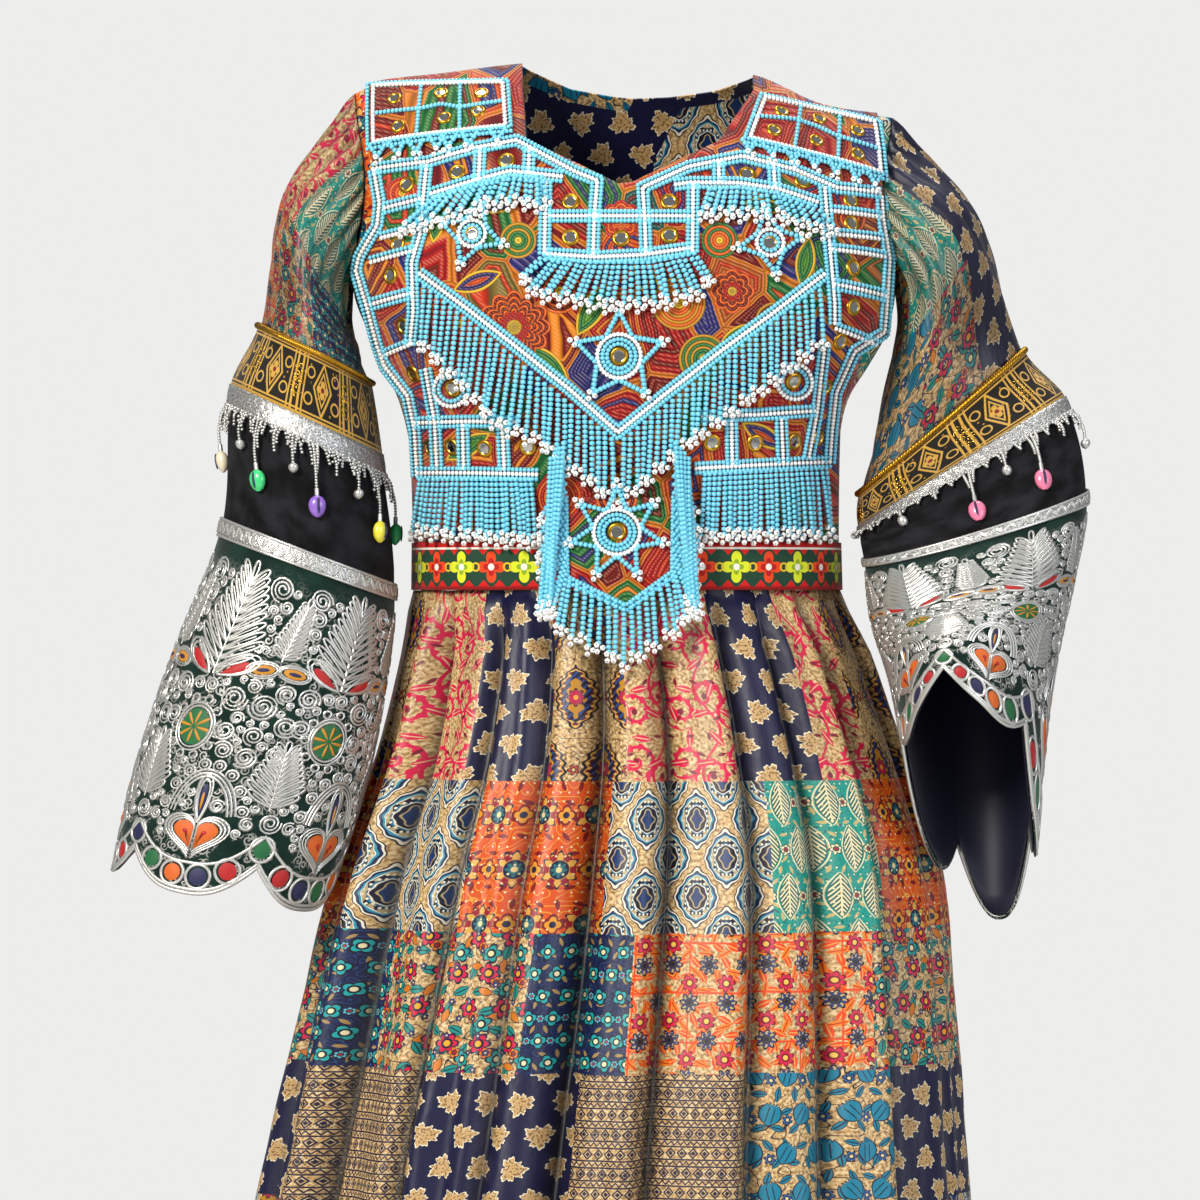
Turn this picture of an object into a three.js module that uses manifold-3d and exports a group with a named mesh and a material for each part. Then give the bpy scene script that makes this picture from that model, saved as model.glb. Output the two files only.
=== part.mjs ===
// A long beaded and embroidered dress with a gathered skirt and bell sleeves, worn and hollow.
// Millimetres. +X is to the right seen from the front, the front faces -Y and +Z is up.
// The origin lies between the shoulders, where the wearer holds the dress.
// "left" and "right" are the sides as seen from the front.
import * as THREE from 'three';
import Module from 'manifold-3d';

const wasm = await Module();
wasm.setup();

// Driving dimensions
const WALL = 1.6;
const SEAM = 0.3;
const YOKE_WALL = 2.0;
const HEM_Z = -1340;
const WAIST_Z = -392;
const BAND_TOP_Z = -354;
const BUST_Z = -190;
const UNDERARM_Z = -154;
const CHEST_TOP_Z = -40;
const BACK_TURN_Z = -150;
const FRONT_DOME = 1.3;
const BACK_DOME = 1.2;
const ARMHOLE_INSET = 0.24;
const BEAD = 3.3;
const STRAND_RADIUS = 1.5;
const TIP_STANDS_OFF = 3.4;
const YOKE_LIFT = SEAM + YOKE_WALL;
const STRIP_LIFT = YOKE_LIFT + 1.1;
const TAB_LIFT = YOKE_LIFT + 0.5;
const SLEEVE_COLUMNS = 20;
const SCALLOPS = 5;
const SCALLOP_DEPTH = 28;
const GATHERS = 34;

// Bodice sections from the waist up: side limits, depths and squareness of the section
const BODICE = [
  { z: -392, left: -167, right: 174, front: 118, back: 100, power: 2.2 },
  { z: -300, left: -167, right: 172, front: 128, back: 104, power: 2.3 },
  { z: -266, left: -172, right: 174, front: 135, back: 107, power: 2.4 },
  { z: -238, left: -180, right: 181, front: 141, back: 109, power: 2.5 },
  { z: -214, left: -191, right: 196, front: 145, back: 111, power: 2.6 },
  { z: -187, left: -203, right: 211, front: 146, back: 112, power: 2.6 },
  { z: -154, left: -215, right: 218, front: 146, back: 114, power: 2.6 },
  { z: -100, left: -216, right: 217, front: 146, back: 114, power: 2.6 },
  { z: 30, left: -213, right: 214, front: 146, back: 114, power: 2.6 },
];

const SHOULDER_LINE = [
  { x: -214, z: 5 },
  { x: -196, z: 13 },
  { x: -146, z: 19 },
  { x: -80, z: 27 },
  { x: 0, z: 30 },
  { x: 104, z: 18 },
  { x: 158, z: -5 },
  { x: 214, z: -14 },
];

const FRONT_NECK = [
  { x: -76, z: -40 },
  { x: -42, z: -56 },
  { x: 2, z: -78 },
  { x: 37, z: -60 },
  { x: 74, z: -42 },
];

const BACK_NECK = [
  { x: -80, z: 27 },
  { x: -42, z: 12 },
  { x: 2, z: 5 },
  { x: 37, z: 6 },
  { x: 74, z: 10 },
  { x: 104, z: 18 },
];

const NECK_SIDES = [
  { z: -42, left: -76, right: 74 },
  { z: -21, left: -77, right: 88 },
  { z: 4, left: -79, right: 104 },
  { z: 27, left: -80, right: 104 },
];

// Side edges of the embroidered panel
const YOKE_SIDES = [
  { z: -392, left: -163, right: 169 },
  { z: -250, left: -168, right: 171 },
  { z: -225, left: -178, right: 182 },
  { z: -200, left: -190, right: 188 },
  { z: -187, left: -194, right: 203 },
  { z: -138, left: -208, right: 208 },
  { z: -106, left: -193, right: 204 },
  { z: -66, left: -196, right: 204 },
  { z: 10, left: -201, right: 203 },
];

// Skirt sections down to the hem. small is the height of the waist gathers, large that of the folds.
const SKIRT = [
  { z: -392.4, left: -166, right: 173, front: 117, back: 99, small: 1.5, large: 0 },
  { z: -404, left: -169, right: 177, front: 121, back: 103, small: 4, large: 1 },
  { z: -440, left: -174, right: 194, front: 131, back: 115, small: 5, large: 3 },
  { z: -528, left: -196, right: 226, front: 152, back: 140, small: 4, large: 8 },
  { z: -610, left: -226, right: 250, front: 171, back: 163, small: 2, large: 12 },
  { z: -710, left: -250, right: 260, front: 190, back: 186, small: 1, large: 15 },
  { z: -880, left: -288, right: 272, front: 216, back: 216, small: 0, large: 18 },
  { z: -1110, left: -332, right: 292, front: 245, back: 248, small: 0, large: 20 },
  { z: HEM_Z, left: -370, right: 312, front: 270, back: 276, small: 0, large: 22 },
];

// Deep folds round the skirt. at is the angle from the right side through the front, in degrees.
const SKIRT_FOLDS = [
  { at: 12, width: 7, depth: 0.8 },
  { at: 33, width: 6, depth: 0.7 },
  { at: 52, width: 5, depth: 0.9 },
  { at: 66, width: 5, depth: 0.6 },
  { at: 82, width: 5, depth: 0.9 },
  { at: 99, width: 6, depth: 1.1 },
  { at: 118, width: 5, depth: 0.6 },
  { at: 141, width: 7, depth: 1.1 },
  { at: 163, width: 6, depth: 0.8 },
  { at: 187, width: 7, depth: 0.9 },
  { at: 209, width: 6, depth: 0.8 },
  { at: 231, width: 6, depth: 1.0 },
  { at: 254, width: 6, depth: 0.8 },
  { at: 276, width: 6, depth: 1.0 },
  { at: 299, width: 6, depth: 0.7 },
  { at: 322, width: 7, depth: 1.0 },
  { at: 345, width: 6, depth: 0.8 },
];

// Sleeve rings below the armhole. outer and inner are the ends of a ring across the arm, seen from
// the front, y its middle, depth its half-depth, and rise and shift how far its front end is moved.
const SLEEVE_RINGS = {
  left: [
    { at: 80, outerX: -268, outerZ: -74, innerX: -217, innerZ: -184, y: -4, depth: 84, rise: 0, shift: 0 },
    { at: 190, outerX: -288, outerZ: -182, innerX: -202, innerZ: -228, y: -18, depth: 84, rise: 0, shift: 0 },
    { at: 240, outerX: -310, outerZ: -230, innerX: -193, innerZ: -286, y: -26, depth: 86, rise: 0, shift: 0 },
    { at: 362, outerX: -317, outerZ: -342, innerX: -182, innerZ: -394, y: -46, depth: 82, rise: 0, shift: 0 },
    { at: 450, outerX: -356, outerZ: -446, innerX: -189, innerZ: -472, y: -58, depth: 80, rise: 0, shift: 0 },
    { at: 545, outerX: -386, outerZ: -540, innerX: -208, innerZ: -560, y: -64, depth: 78, rise: 0, shift: 0 },
    { at: 630, outerX: -402, outerZ: -614, innerX: -236, innerZ: -644, y: -66, depth: 76, rise: -4, shift: 0 },
  ],
  right: [
    { at: 80, outerX: 280, outerZ: -90, innerX: 220, innerZ: -190, y: -4, depth: 80, rise: 0, shift: 0 },
    { at: 190, outerX: 318, outerZ: -202, innerX: 190, innerZ: -316, y: -22, depth: 44, rise: 0, shift: 0 },
    { at: 240, outerX: 350, outerZ: -240, innerX: 189, innerZ: -342, y: -34, depth: 54, rise: 0, shift: 0 },
    { at: 362, outerX: 365, outerZ: -318, innerX: 192, innerZ: -370, y: -66, depth: 70, rise: -8, shift: 0 },
    { at: 450, outerX: 352, outerZ: -388, innerX: 196, innerZ: -416, y: -96, depth: 84, rise: 6, shift: 0 },
    { at: 545, outerX: 334, outerZ: -468, innerX: 210, innerZ: -464, y: -118, depth: 84, rise: 44, shift: -6 },
    { at: 630, outerX: 320, outerZ: -582, innerX: 224, innerZ: -538, y: -132, depth: 74, rise: 90, shift: -12 },
  ],
};

// Stretches of a sleeve, from and to along it, and how far each lies outside the sleeve's surface
const HEM_AT = 630;
const BELL_ROWS = [369, 415, 470, 530, 580, HEM_AT];
const SLEEVE_PIECES = [
  { name: 'upper', rows: [0, 18, 48, 88, 138, 189.8], lift: 0, wall: WALL, colour: 0x7c6a58, rough: 0.45 },
  { name: 'band', rows: [190.2, 239.8], lift: 0, wall: 2.0, colour: 0x2a1c08, rough: 0.7 },
  { name: 'mid', rows: [240.2, 258, 355, 361.6], lift: 0, wall: 2.0, colour: 0x0c0c0e, rough: 0.9 },
  { name: 'bell', rows: [362.4, ...BELL_ROWS], lift: 0, wall: 2.0, colour: 0x2b3a33, rough: 0.8 },
  { name: 'lining', rows: BELL_ROWS.slice(2), lift: -2.4, wall: 1.0, colour: 0x15162e, rough: 0.4 },
  { name: 'braid', rows: [355, 362, 369], lift: 2.4, wall: 2.0, colour: 0xbebeb9, rough: 0.4 },
];

const CORD_AT = 190;
const CORD_RADIUS = 2.4;
const TRIM = { rows: [240.2, 258], lift: 0.5, wall: 1.6 };

// Bead strands and pendants under the silver trim. turn is round the sleeve from its outer side
// through the front, in degrees, drop the strand's length, size the pendant's half-height.
const SLEEVE_STRANDS = {
  left: [
    { turn: 8, drop: 34, size: 10 },
    { turn: 26, drop: 20, size: 0 },
    { turn: 44, drop: 22, size: 4 },
    { turn: 58, drop: 38, size: 10 },
    { turn: 72, drop: 20, size: 0 },
    { turn: 84, drop: 24, size: 4 },
    { turn: 98, drop: 40, size: 10 },
    { turn: 112, drop: 20, size: 0 },
    { turn: 128, drop: 24, size: 4 },
    { turn: 146, drop: 40, size: 10 },
    { turn: 166, drop: 20, size: 0 },
    { turn: 190, drop: 36, size: 10 },
    { turn: 215, drop: 20, size: 0 },
    { turn: 240, drop: 24, size: 4 },
    { turn: 265, drop: 38, size: 10 },
    { turn: 290, drop: 20, size: 0 },
    { turn: 315, drop: 24, size: 4 },
    { turn: 340, drop: 20, size: 0 },
  ],
  right: [
    { turn: 10, drop: 34, size: 4 },
    { turn: 34, drop: 20, size: 0 },
    { turn: 54, drop: 40, size: 10 },
    { turn: 72, drop: 22, size: 4 },
    { turn: 90, drop: 44, size: 10 },
    { turn: 108, drop: 20, size: 0 },
    { turn: 128, drop: 24, size: 4 },
    { turn: 150, drop: 22, size: 0 },
    { turn: 175, drop: 18, size: 0 },
    { turn: 205, drop: 20, size: 4 },
    { turn: 235, drop: 26, size: 10 },
    { turn: 265, drop: 20, size: 0 },
    { turn: 295, drop: 26, size: 10 },
    { turn: 325, drop: 20, size: 0 },
  ],
};

// Strung bead fringes on the embroidered panel. Each hangs from a strip along its top line and
// reaches down to its line of tips.
const FRINGES = [
  {
    name: 'fringe_chevron_left',
    steps: 20,
    strands: 24,
    top: [{ x: -154, z: -150 }, { x: -8, z: -270 }],
    tips: [{ x: -154, z: -192 }, { x: -96, z: -255 }, { x: -60, z: -272 }, { x: -8, z: -316 }],
  },
  {
    name: 'fringe_chevron_right',
    steps: 24,
    strands: 24,
    top: [{ x: 0, z: -270 }, { x: 152, z: -150 }],
    tips: [{ x: 0, z: -316 }, { x: 48, z: -272 }, { x: 92, z: -238 }, { x: 152, z: -192 }],
  },
  {
    name: 'fringe_centre',
    steps: 11,
    strands: 20,
    top: [{ x: -62, z: -128 }, { x: -30, z: -134 }, { x: 20, z: -134 }, { x: 56, z: -127 }],
    tips: [{ x: -62, z: -158 }, { x: -20, z: -168 }, { x: 20, z: -168 }, { x: 56, z: -156 }],
  },
  {
    name: 'fringe_arch_left',
    steps: 10,
    strands: 14,
    top: [{ x: -148, z: -83 }, { x: -118, z: -73 }, { x: -88, z: -66 }, { x: -62, z: -68 }],
    tips: [{ x: -148, z: -104 }, { x: -118, z: -94 }, { x: -88, z: -88 }, { x: -62, z: -92 }],
  },
  {
    name: 'fringe_arch_right',
    steps: 13,
    strands: 14,
    top: [{ x: 66, z: -78 }, { x: 92, z: -76 }, { x: 120, z: -80 }, { x: 150, z: -90 }],
    tips: [{ x: 66, z: -98 }, { x: 92, z: -98 }, { x: 120, z: -100 }, { x: 150, z: -110 }],
  },
  {
    name: 'fringe_waist_left',
    steps: 10,
    strands: 20,
    top: [{ x: -158, z: -300 }, { x: -70, z: -300 }],
    tips: [{ x: -158, z: -342 }, { x: -70, z: -350 }],
  },
  {
    name: 'fringe_waist_right',
    steps: 14,
    strands: 20,
    top: [{ x: 62, z: -297 }, { x: 158, z: -291 }],
    tips: [{ x: 62, z: -346 }, { x: 158, z: -344 }],
  },
];
const STRIP_HEIGHT = 10;

// The pointed tab and the fringe along its edge
const TAB_TOP_Z = -320;
const TAB_POINT = [
  { x: -42, z: -382 },
  { x: -20, z: -393 },
  { x: 2, z: -404 },
  { x: 20, z: -393 },
  { x: 37, z: -378 },
];
const TAB_ROWS = 4;
const TAB_SWING = 0.18;
const RIM_LIFT = 0.95;
const TAB_FRINGE = {
  strands: 22,
  rim: [
    { x: -44, z: -326 },
    { x: -44, z: -378 },
    { x: 2, z: -400 },
    { x: 39, z: -374 },
    { x: 39, z: -326 },
  ],
  tips: [
    { x: -58, z: -402 },
    { x: -50, z: -420 },
    { x: 2, z: -444 },
    { x: 44, z: -418 },
    { x: 52, z: -398 },
  ],
};

const RAD = Math.PI / 180;
const lerp = (a, b, t) => a + (b - a) * t;

// The value of one column of a table at a place along another column, rounded through its rows
function sample(table, along, column, at) {
  const up = table[0][along] < table[table.length - 1][along];
  const rows = up ? table : [...table].reverse();
  const last = rows.length - 1;
  if (at <= rows[0][along]) return rows[0][column];
  if (at >= rows[last][along]) return rows[last][column];
  let k = 0;
  while (at > rows[k + 1][along]) k += 1;
  const slope = (i) => {
    const a = rows[Math.max(i - 1, 0)];
    const b = rows[Math.min(i + 1, last)];
    return (b[column] - a[column]) / (b[along] - a[along]);
  };
  const span = rows[k + 1][along] - rows[k][along];
  const t = (at - rows[k][along]) / span;
  const h = t * t * (3 - 2 * t);
  return (
    lerp(rows[k][column], rows[k + 1][column], h) +
    span * (slope(k) * t * (1 - t) * (1 - t) - slope(k + 1) * t * t * (1 - t))
  );
}

// The same with straight lines between the rows
function between(table, along, column, at) {
  const last = table.length - 1;
  const up = table[0][along] < table[last][along] ? 1 : -1;
  let k = 0;
  while (k < last - 1 && (at - table[k + 1][along]) * up > 0) k += 1;
  const t = (at - table[k][along]) / (table[k + 1][along] - table[k][along]);
  return lerp(table[k][column], table[k + 1][column], THREE.MathUtils.clamp(t, 0, 1));
}

// Grids of points: rows of columns, each a Vector3

function normalsOf(grid, wraps) {
  const rows = grid.length;
  const columns = grid[0].length;
  const column = (c) => (wraps ? (c + columns) % columns : THREE.MathUtils.clamp(c, 0, columns - 1));
  return grid.map((row, r) =>
    row.map((_, c) => {
      const along = row[column(c + 1)].clone().sub(row[column(c - 1)]);
      const up = grid[Math.min(r + 1, rows - 1)][c].clone().sub(grid[Math.max(r - 1, 0)][c]);
      return along.cross(up).normalize();
    }),
  );
}

function moved(grid, normals, distance) {
  return grid.map((row, r) => row.map((p, c) => p.clone().addScaledVector(normals[r][c], distance)));
}

// A closed wall between an inner and an outer grid. keeps says which cells there are.
function wallBetween(inner, outer, wraps = false, keeps = () => true) {
  const rows = inner.length;
  const columns = inner[0].length;
  const cells = wraps ? columns : columns - 1;
  const points = [...inner.flat(), ...outer.flat()];
  const id = (r, c) => r * columns + (c % columns);
  const out = rows * columns;
  const faces = [];
  const edges = new Map();
  const quad = (a, b, c, d) => faces.push([a, b, c], [a, c, d]);
  for (let r = 0; r < rows - 1; r += 1) {
    for (let c = 0; c < cells; c += 1) {
      if (!keeps(r, c)) continue;
      const ring = [id(r, c), id(r, c + 1), id(r + 1, c + 1), id(r + 1, c)];
      quad(...ring.map((i) => i + out));
      faces.push([ring[0], ring[2], ring[1]], [ring[0], ring[3], ring[2]]);
      ring.forEach((a, i) => edges.set(`${a},${ring[(i + 1) % 4]}`, [a, ring[(i + 1) % 4]]));
    }
  }
  edges.forEach(([a, b]) => {
    if (!edges.has(`${b},${a}`)) quad(a, b, b + out, a + out);
  });
  return solidOf(points, faces);
}

// An indexed geometry with its faces pointing out and no unused points
function solidOf(points, faces) {
  let volume = 0;
  faces.forEach(([a, b, c]) => {
    volume += points[a].dot(points[b].clone().cross(points[c]));
  });
  const used = new Map();
  const positions = [];
  const index = faces.flatMap((face) =>
    (volume < 0 ? [...face].reverse() : face).map((i) => {
      if (!used.has(i)) {
        used.set(i, used.size);
        positions.push(...points[i].toArray());
      }
      return used.get(i);
    }),
  );
  const geometry = new THREE.BufferGeometry();
  geometry.setAttribute('position', new THREE.Float32BufferAttribute(positions, 3));
  geometry.setIndex(index);
  return geometry;
}

function joined(geometries) {
  const solids = geometries.map(
    (g) =>
      new wasm.Manifold(
        new wasm.Mesh({
          numProp: 3,
          vertProperties: new Float32Array(g.attributes.position.array),
          triVerts: new Uint32Array(g.index.array),
        }),
      ),
  );
  const mesh = solids.reduce((a, b) => a.add(b)).getMesh();
  const geometry = new THREE.BufferGeometry();
  geometry.setAttribute('position', new THREE.BufferAttribute(mesh.vertProperties, 3));
  geometry.setIndex(new THREE.BufferAttribute(mesh.triVerts, 1));
  return geometry;
}

// A bar with a few sides through the given points, each with its own radius
function bar(points, radii, sides) {
  const along = points[points.length - 1].clone().sub(points[0]).normalize();
  const across = new THREE.Vector3(0.2, -1, 0.1).cross(along).normalize();
  const other = along.clone().cross(across);
  const ring = points.flatMap((p, i) =>
    Array.from({ length: sides }, (_, k) => {
      const turn = (2 * Math.PI * k) / sides;
      return p
        .clone()
        .addScaledVector(across, radii[i] * Math.cos(turn))
        .addScaledVector(other, radii[i] * Math.sin(turn));
    }),
  );
  const faces = [];
  for (let i = 0; i < points.length - 1; i += 1) {
    for (let k = 0; k < sides; k += 1) {
      const a = i * sides + k;
      const b = i * sides + ((k + 1) % sides);
      faces.push([a, b, b + sides], [a, b + sides, a + sides]);
    }
  }
  const last = (points.length - 1) * sides;
  for (let k = 1; k < sides - 1; k += 1) {
    faces.push([0, k + 1, k], [last, last + k, last + k + 1]);
  }
  return solidOf(ring, faces);
}

const materials = new Map();
const dress = new THREE.Group();

function add(name, geometry, colour, roughness = 0.6, metalness = 0) {
  const key = `${colour},${roughness},${metalness}`;
  if (!materials.has(key)) {
    materials.set(key, new THREE.MeshStandardMaterial({ color: colour, roughness, metalness }));
  }
  const mesh = new THREE.Mesh(geometry, materials.get(key));
  mesh.name = name;
  dress.add(mesh);
}

// The bodice's surface

const shoulderZ = (x) => sample(SHOULDER_LINE, 'x', 'z', x);

function bodiceSection(z) {
  const left = sample(BODICE, 'z', 'left', z);
  const right = sample(BODICE, 'z', 'right', z);
  return { middle: (left + right) / 2, half: (right - left) / 2, power: sample(BODICE, 'z', 'power', z) };
}

// Share of the way from the middle to the side along the cloth at this x, from -1 to 1
function shareAt(x, z) {
  const { middle, half, power } = bodiceSection(z);
  const across = THREE.MathUtils.clamp((x - middle) / half, -1, 1);
  return (Math.sign(across) * Math.asin(Math.abs(across) ** (power / 2))) / (Math.PI / 2);
}

function bodicePoint(share, z, facing) {
  const { middle, half, power } = bodiceSection(z);
  const turn = (share * Math.PI) / 2;
  const sine = Math.sin(turn);
  const x = middle + half * Math.sign(sine) * Math.abs(sine) ** (2 / power);
  const front = facing === 'front';
  const depth = sample(BODICE, 'z', facing, z);
  const turnZ = front ? BUST_Z : BACK_TURN_Z;
  const height = THREE.MathUtils.clamp((z - turnZ) / (shoulderZ(x) - turnZ), 0, 1);
  const dome = (1 - height * height) ** ((front ? FRONT_DOME : BACK_DOME) / 2);
  const y = depth * Math.max(Math.cos(turn), 0) ** (2 / power) * dome + SEAM * 0.75;
  return new THREE.Vector3(x, front ? -y : y, z);
}

// Columns across the bodice: from one guide line to the next, by a fraction
const COLUMNS = [
  { from: 'leftEdge', to: 'leftYoke', part: 0 },
  { from: 'leftEdge', to: 'leftYoke', part: 0.5 },
  { from: 'leftYoke', to: 'leftNeck', part: 0 },
  { from: 'leftYoke', to: 'leftNeck', part: 0.22 },
  { from: 'leftYoke', to: 'leftNeck', part: 0.46 },
  { from: 'leftYoke', to: 'leftNeck', part: 0.72 },
  { from: 'leftNeck', to: 'leftTab', part: 0 },
  { from: 'leftTab', to: 'centre', part: 0 },
  { from: 'leftTab', to: 'centre', part: 0.5 },
  { from: 'centre', to: 'rightTab', part: 0 },
  { from: 'centre', to: 'rightTab', part: 0.5 },
  { from: 'rightTab', to: 'rightNeck', part: 0 },
  { from: 'rightNeck', to: 'rightYoke', part: 0 },
  { from: 'rightNeck', to: 'rightYoke', part: 0.28 },
  { from: 'rightNeck', to: 'rightYoke', part: 0.54 },
  { from: 'rightNeck', to: 'rightYoke', part: 0.78 },
  { from: 'rightYoke', to: 'rightEdge', part: 0 },
  { from: 'rightYoke', to: 'rightEdge', part: 0.5 },
  { from: 'rightYoke', to: 'rightEdge', part: 1 },
];
const YOKE_FIRST = 2;
const YOKE_LAST = 16;
const NECK_FIRST = 6;
const NECK_LAST = 12;
const TAB_FIRST = 7;
const TAB_LAST = 11;

const LOW_ROWS = [WAIST_Z, BAND_TOP_Z, -320, -285, -250, -218, BUST_Z];
const CHEST_PARTS = [0.24, 0.6, 1];
const TOP_PARTS = [0.5, 0.78, 0.94, 1];
const YOKE_ROW = 1;
const CHEST_ROW = LOW_ROWS.length + CHEST_PARTS.length - 1;
const UNDERARM_ROW = LOW_ROWS.length;

// How far the side edge comes in from the side seam, at a part of the armhole's height
const edgeShare = (part) => 1 - ARMHOLE_INSET * Math.sin(Math.PI * THREE.MathUtils.clamp(part, 0, 1)) ** 0.8;

function guideShare(name, z, armholePart) {
  if (name === 'leftEdge') return -edgeShare(armholePart);
  if (name === 'rightEdge') return edgeShare(armholePart);
  const lines = {
    leftYoke: () => between(YOKE_SIDES, 'z', 'left', z),
    rightYoke: () => between(YOKE_SIDES, 'z', 'right', z),
    leftNeck: () => between(NECK_SIDES, 'z', 'left', z),
    rightNeck: () => between(NECK_SIDES, 'z', 'right', z),
    leftTab: () => -42,
    centre: () => 2,
    rightTab: () => 37,
  };
  return shareAt(lines[name](), z);
}

function columnShare({ from, to, part }, z, armholePart) {
  return lerp(guideShare(from, z, armholePart), guideShare(to, z, armholePart), part);
}

// Heights of one column of the bodice, and the share across it at each
function bodiceColumn(column, facing) {
  const index = COLUMNS.indexOf(column);
  const inNeck = index > NECK_FIRST && index < NECK_LAST;
  const onNeck = index >= NECK_FIRST && index <= NECK_LAST;
  let ridge = 0;
  let topX = 0;
  for (let pass = 0; pass < 4; pass += 1) {
    topX = bodicePoint(columnShare(column, ridge, 1), ridge, facing).x;
    ridge = shoulderZ(topX);
  }
  const armholePart = (z) => (z - UNDERARM_Z) / (ridge - UNDERARM_Z);
  let heights;
  if (facing === 'front') {
    const chestX = bodicePoint(columnShare(column, CHEST_TOP_Z, 0.6), CHEST_TOP_Z, facing).x;
    const chestTop = onNeck ? between(FRONT_NECK, 'x', 'z', chestX) : CHEST_TOP_Z;
    heights = [
      ...LOW_ROWS,
      ...CHEST_PARTS.map((part) => lerp(BUST_Z, chestTop, part)),
      ...TOP_PARTS.map((part) => lerp(chestTop, ridge, part)),
    ];
  } else {
    const top = inNeck ? between(BACK_NECK, 'x', 'z', topX) : ridge;
    const backParts = [0.35, 0.6, 0.8, 0.92, 0.98, 1];
    heights = [...LOW_ROWS, UNDERARM_Z, ...backParts.map((part) => lerp(UNDERARM_Z, top, part))];
  }
  const points = heights.map((z) => bodicePoint(columnShare(column, z, armholePart(z)), z, facing));
  if (facing === 'front' || !inNeck) {
    points[points.length - 1].setY(facing === 'front' ? -SEAM * 0.75 : SEAM * 0.75);
  }
  return points;
}

// Rows from the waist up. The back's columns run the other way, so that both panels go round alike.
function bodiceGrid(facing) {
  const columns = COLUMNS.map((column) => bodiceColumn(column, facing));
  if (facing === 'back') columns.reverse();
  return columns[0].map((_, r) => columns.map((column) => column[r]));
}

const isNeck = (r, c) => r >= CHEST_ROW && c >= NECK_FIRST && c < NECK_LAST;

const frontGrid = bodiceGrid('front');
const backGrid = bodiceGrid('back');

// Along the side and shoulder seams the walls run straight in, so that the two panels stay apart
function seamNormals(normals) {
  const last = normals.length - 1;
  normals.forEach((row, r) =>
    row.forEach((n, c) => {
      const onSide = (c === 0 || c === row.length - 1) && r <= UNDERARM_ROW;
      if (onSide || r === last) n.setY(0).normalize();
    }),
  );
  return normals;
}

const frontNormals = seamNormals(normalsOf(frontGrid, false));
const backNormals = seamNormals(normalsOf(backGrid, false));

add(
  'bodice_front',
  wallBetween(moved(frontGrid, frontNormals, -WALL), frontGrid, false, (r, c) => !isNeck(r, c)),
  0x7c6a58,
  0.45,
);
add('bodice_back', wallBetween(moved(backGrid, backNormals, -WALL), backGrid), 0x7c6a58, 0.45);

// A point that stands off the front panel's own faces by a distance
function onFront(x, z, lift) {
  for (let r = 0; r < frontGrid.length - 1; r += 1) {
    for (let c = 0; c < COLUMNS.length - 1; c += 1) {
      if (isNeck(r, c)) continue;
      const corners = [[r, c], [r, c + 1], [r + 1, c + 1], [r + 1, c]];
      for (const face of [[0, 1, 2], [0, 2, 3]]) {
        const [a, b, d] = face.map((i) => frontGrid[corners[i][0]][corners[i][1]]);
        const area = (b.x - a.x) * (d.z - a.z) - (d.x - a.x) * (b.z - a.z);
        const v = ((x - a.x) * (d.z - a.z) - (d.x - a.x) * (z - a.z)) / area;
        const w = ((b.x - a.x) * (z - a.z) - (x - a.x) * (b.z - a.z)) / area;
        if (v < -1e-6 || w < -1e-6 || v + w > 1 + 1e-6) continue;
        const shares = [1 - v - w, v, w];
        const normal = new THREE.Vector3();
        face.forEach((i, k) => normal.addScaledVector(frontNormals[corners[i][0]][corners[i][1]], shares[k]));
        const y = a.y * shares[0] + b.y * shares[1] + d.y * shares[2];
        return new THREE.Vector3(x, y, z).addScaledVector(normal.normalize(), lift);
      }
    }
  }
  throw new Error(`no cloth at ${x}, ${z}`);
}

// The embroidered panel lies on the bodice's own points
const cutOut = (grid, rows, columns) => grid.slice(...rows).map((row) => row.slice(...columns));
const yokeRows = [YOKE_ROW, frontGrid.length];
const yokeColumns = [YOKE_FIRST, YOKE_LAST + 1];
const yokeBase = cutOut(frontGrid, yokeRows, yokeColumns);
const yokeNormals = cutOut(frontNormals, yokeRows, yokeColumns);
add(
  'yoke_panel',
  wallBetween(
    moved(yokeBase, yokeNormals, SEAM),
    moved(yokeBase, yokeNormals, YOKE_LIFT),
    false,
    (r, c) => !isNeck(r + YOKE_ROW, c + YOKE_FIRST),
  ),
  0xa8501c,
  0.85,
);

// Beaded patches over the shoulder ends of the panel
const PATCH_ROWS = [CHEST_ROW, frontGrid.length];
const PATCHES = [
  { name: 'shoulder_patch_left', columns: [YOKE_FIRST, NECK_FIRST] },
  { name: 'shoulder_patch_right', columns: [NECK_LAST + 1, YOKE_LAST + 1] },
];
PATCHES.forEach(({ name, columns }) => {
  const base = cutOut(frontGrid, PATCH_ROWS, columns);
  const normals = cutOut(frontNormals, PATCH_ROWS, columns);
  const wall = wallBetween(moved(base, normals, YOKE_LIFT + SEAM), moved(base, normals, YOKE_LIFT + 2.3));
  add(name, wall, 0xa86a30, 0.7);
});

// Waist ribbon, one ring over the lower rows of both panels
const bandRow = (r) => [...frontGrid[r], ...backGrid[r]];
const bandGrid = [bandRow(0), bandRow(1)].map((row, r) =>
  row.map((p) => p.clone().setZ(r === 0 ? WAIST_Z : BAND_TOP_Z - SEAM)),
);
const bandNormals = normalsOf(bandGrid, true);
add(
  'waistband',
  wallBetween(moved(bandGrid, bandNormals, SEAM), moved(bandGrid, bandNormals, SEAM + 1.7), true),
  0x8c2a22,
  0.7,
);

// The skirt

const SKIRT_COLUMNS = 46;
const SKIRT_ROWS = [-392.4, -404, -440, -500, -580, -690, -850, -1090, HEM_Z];

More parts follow.
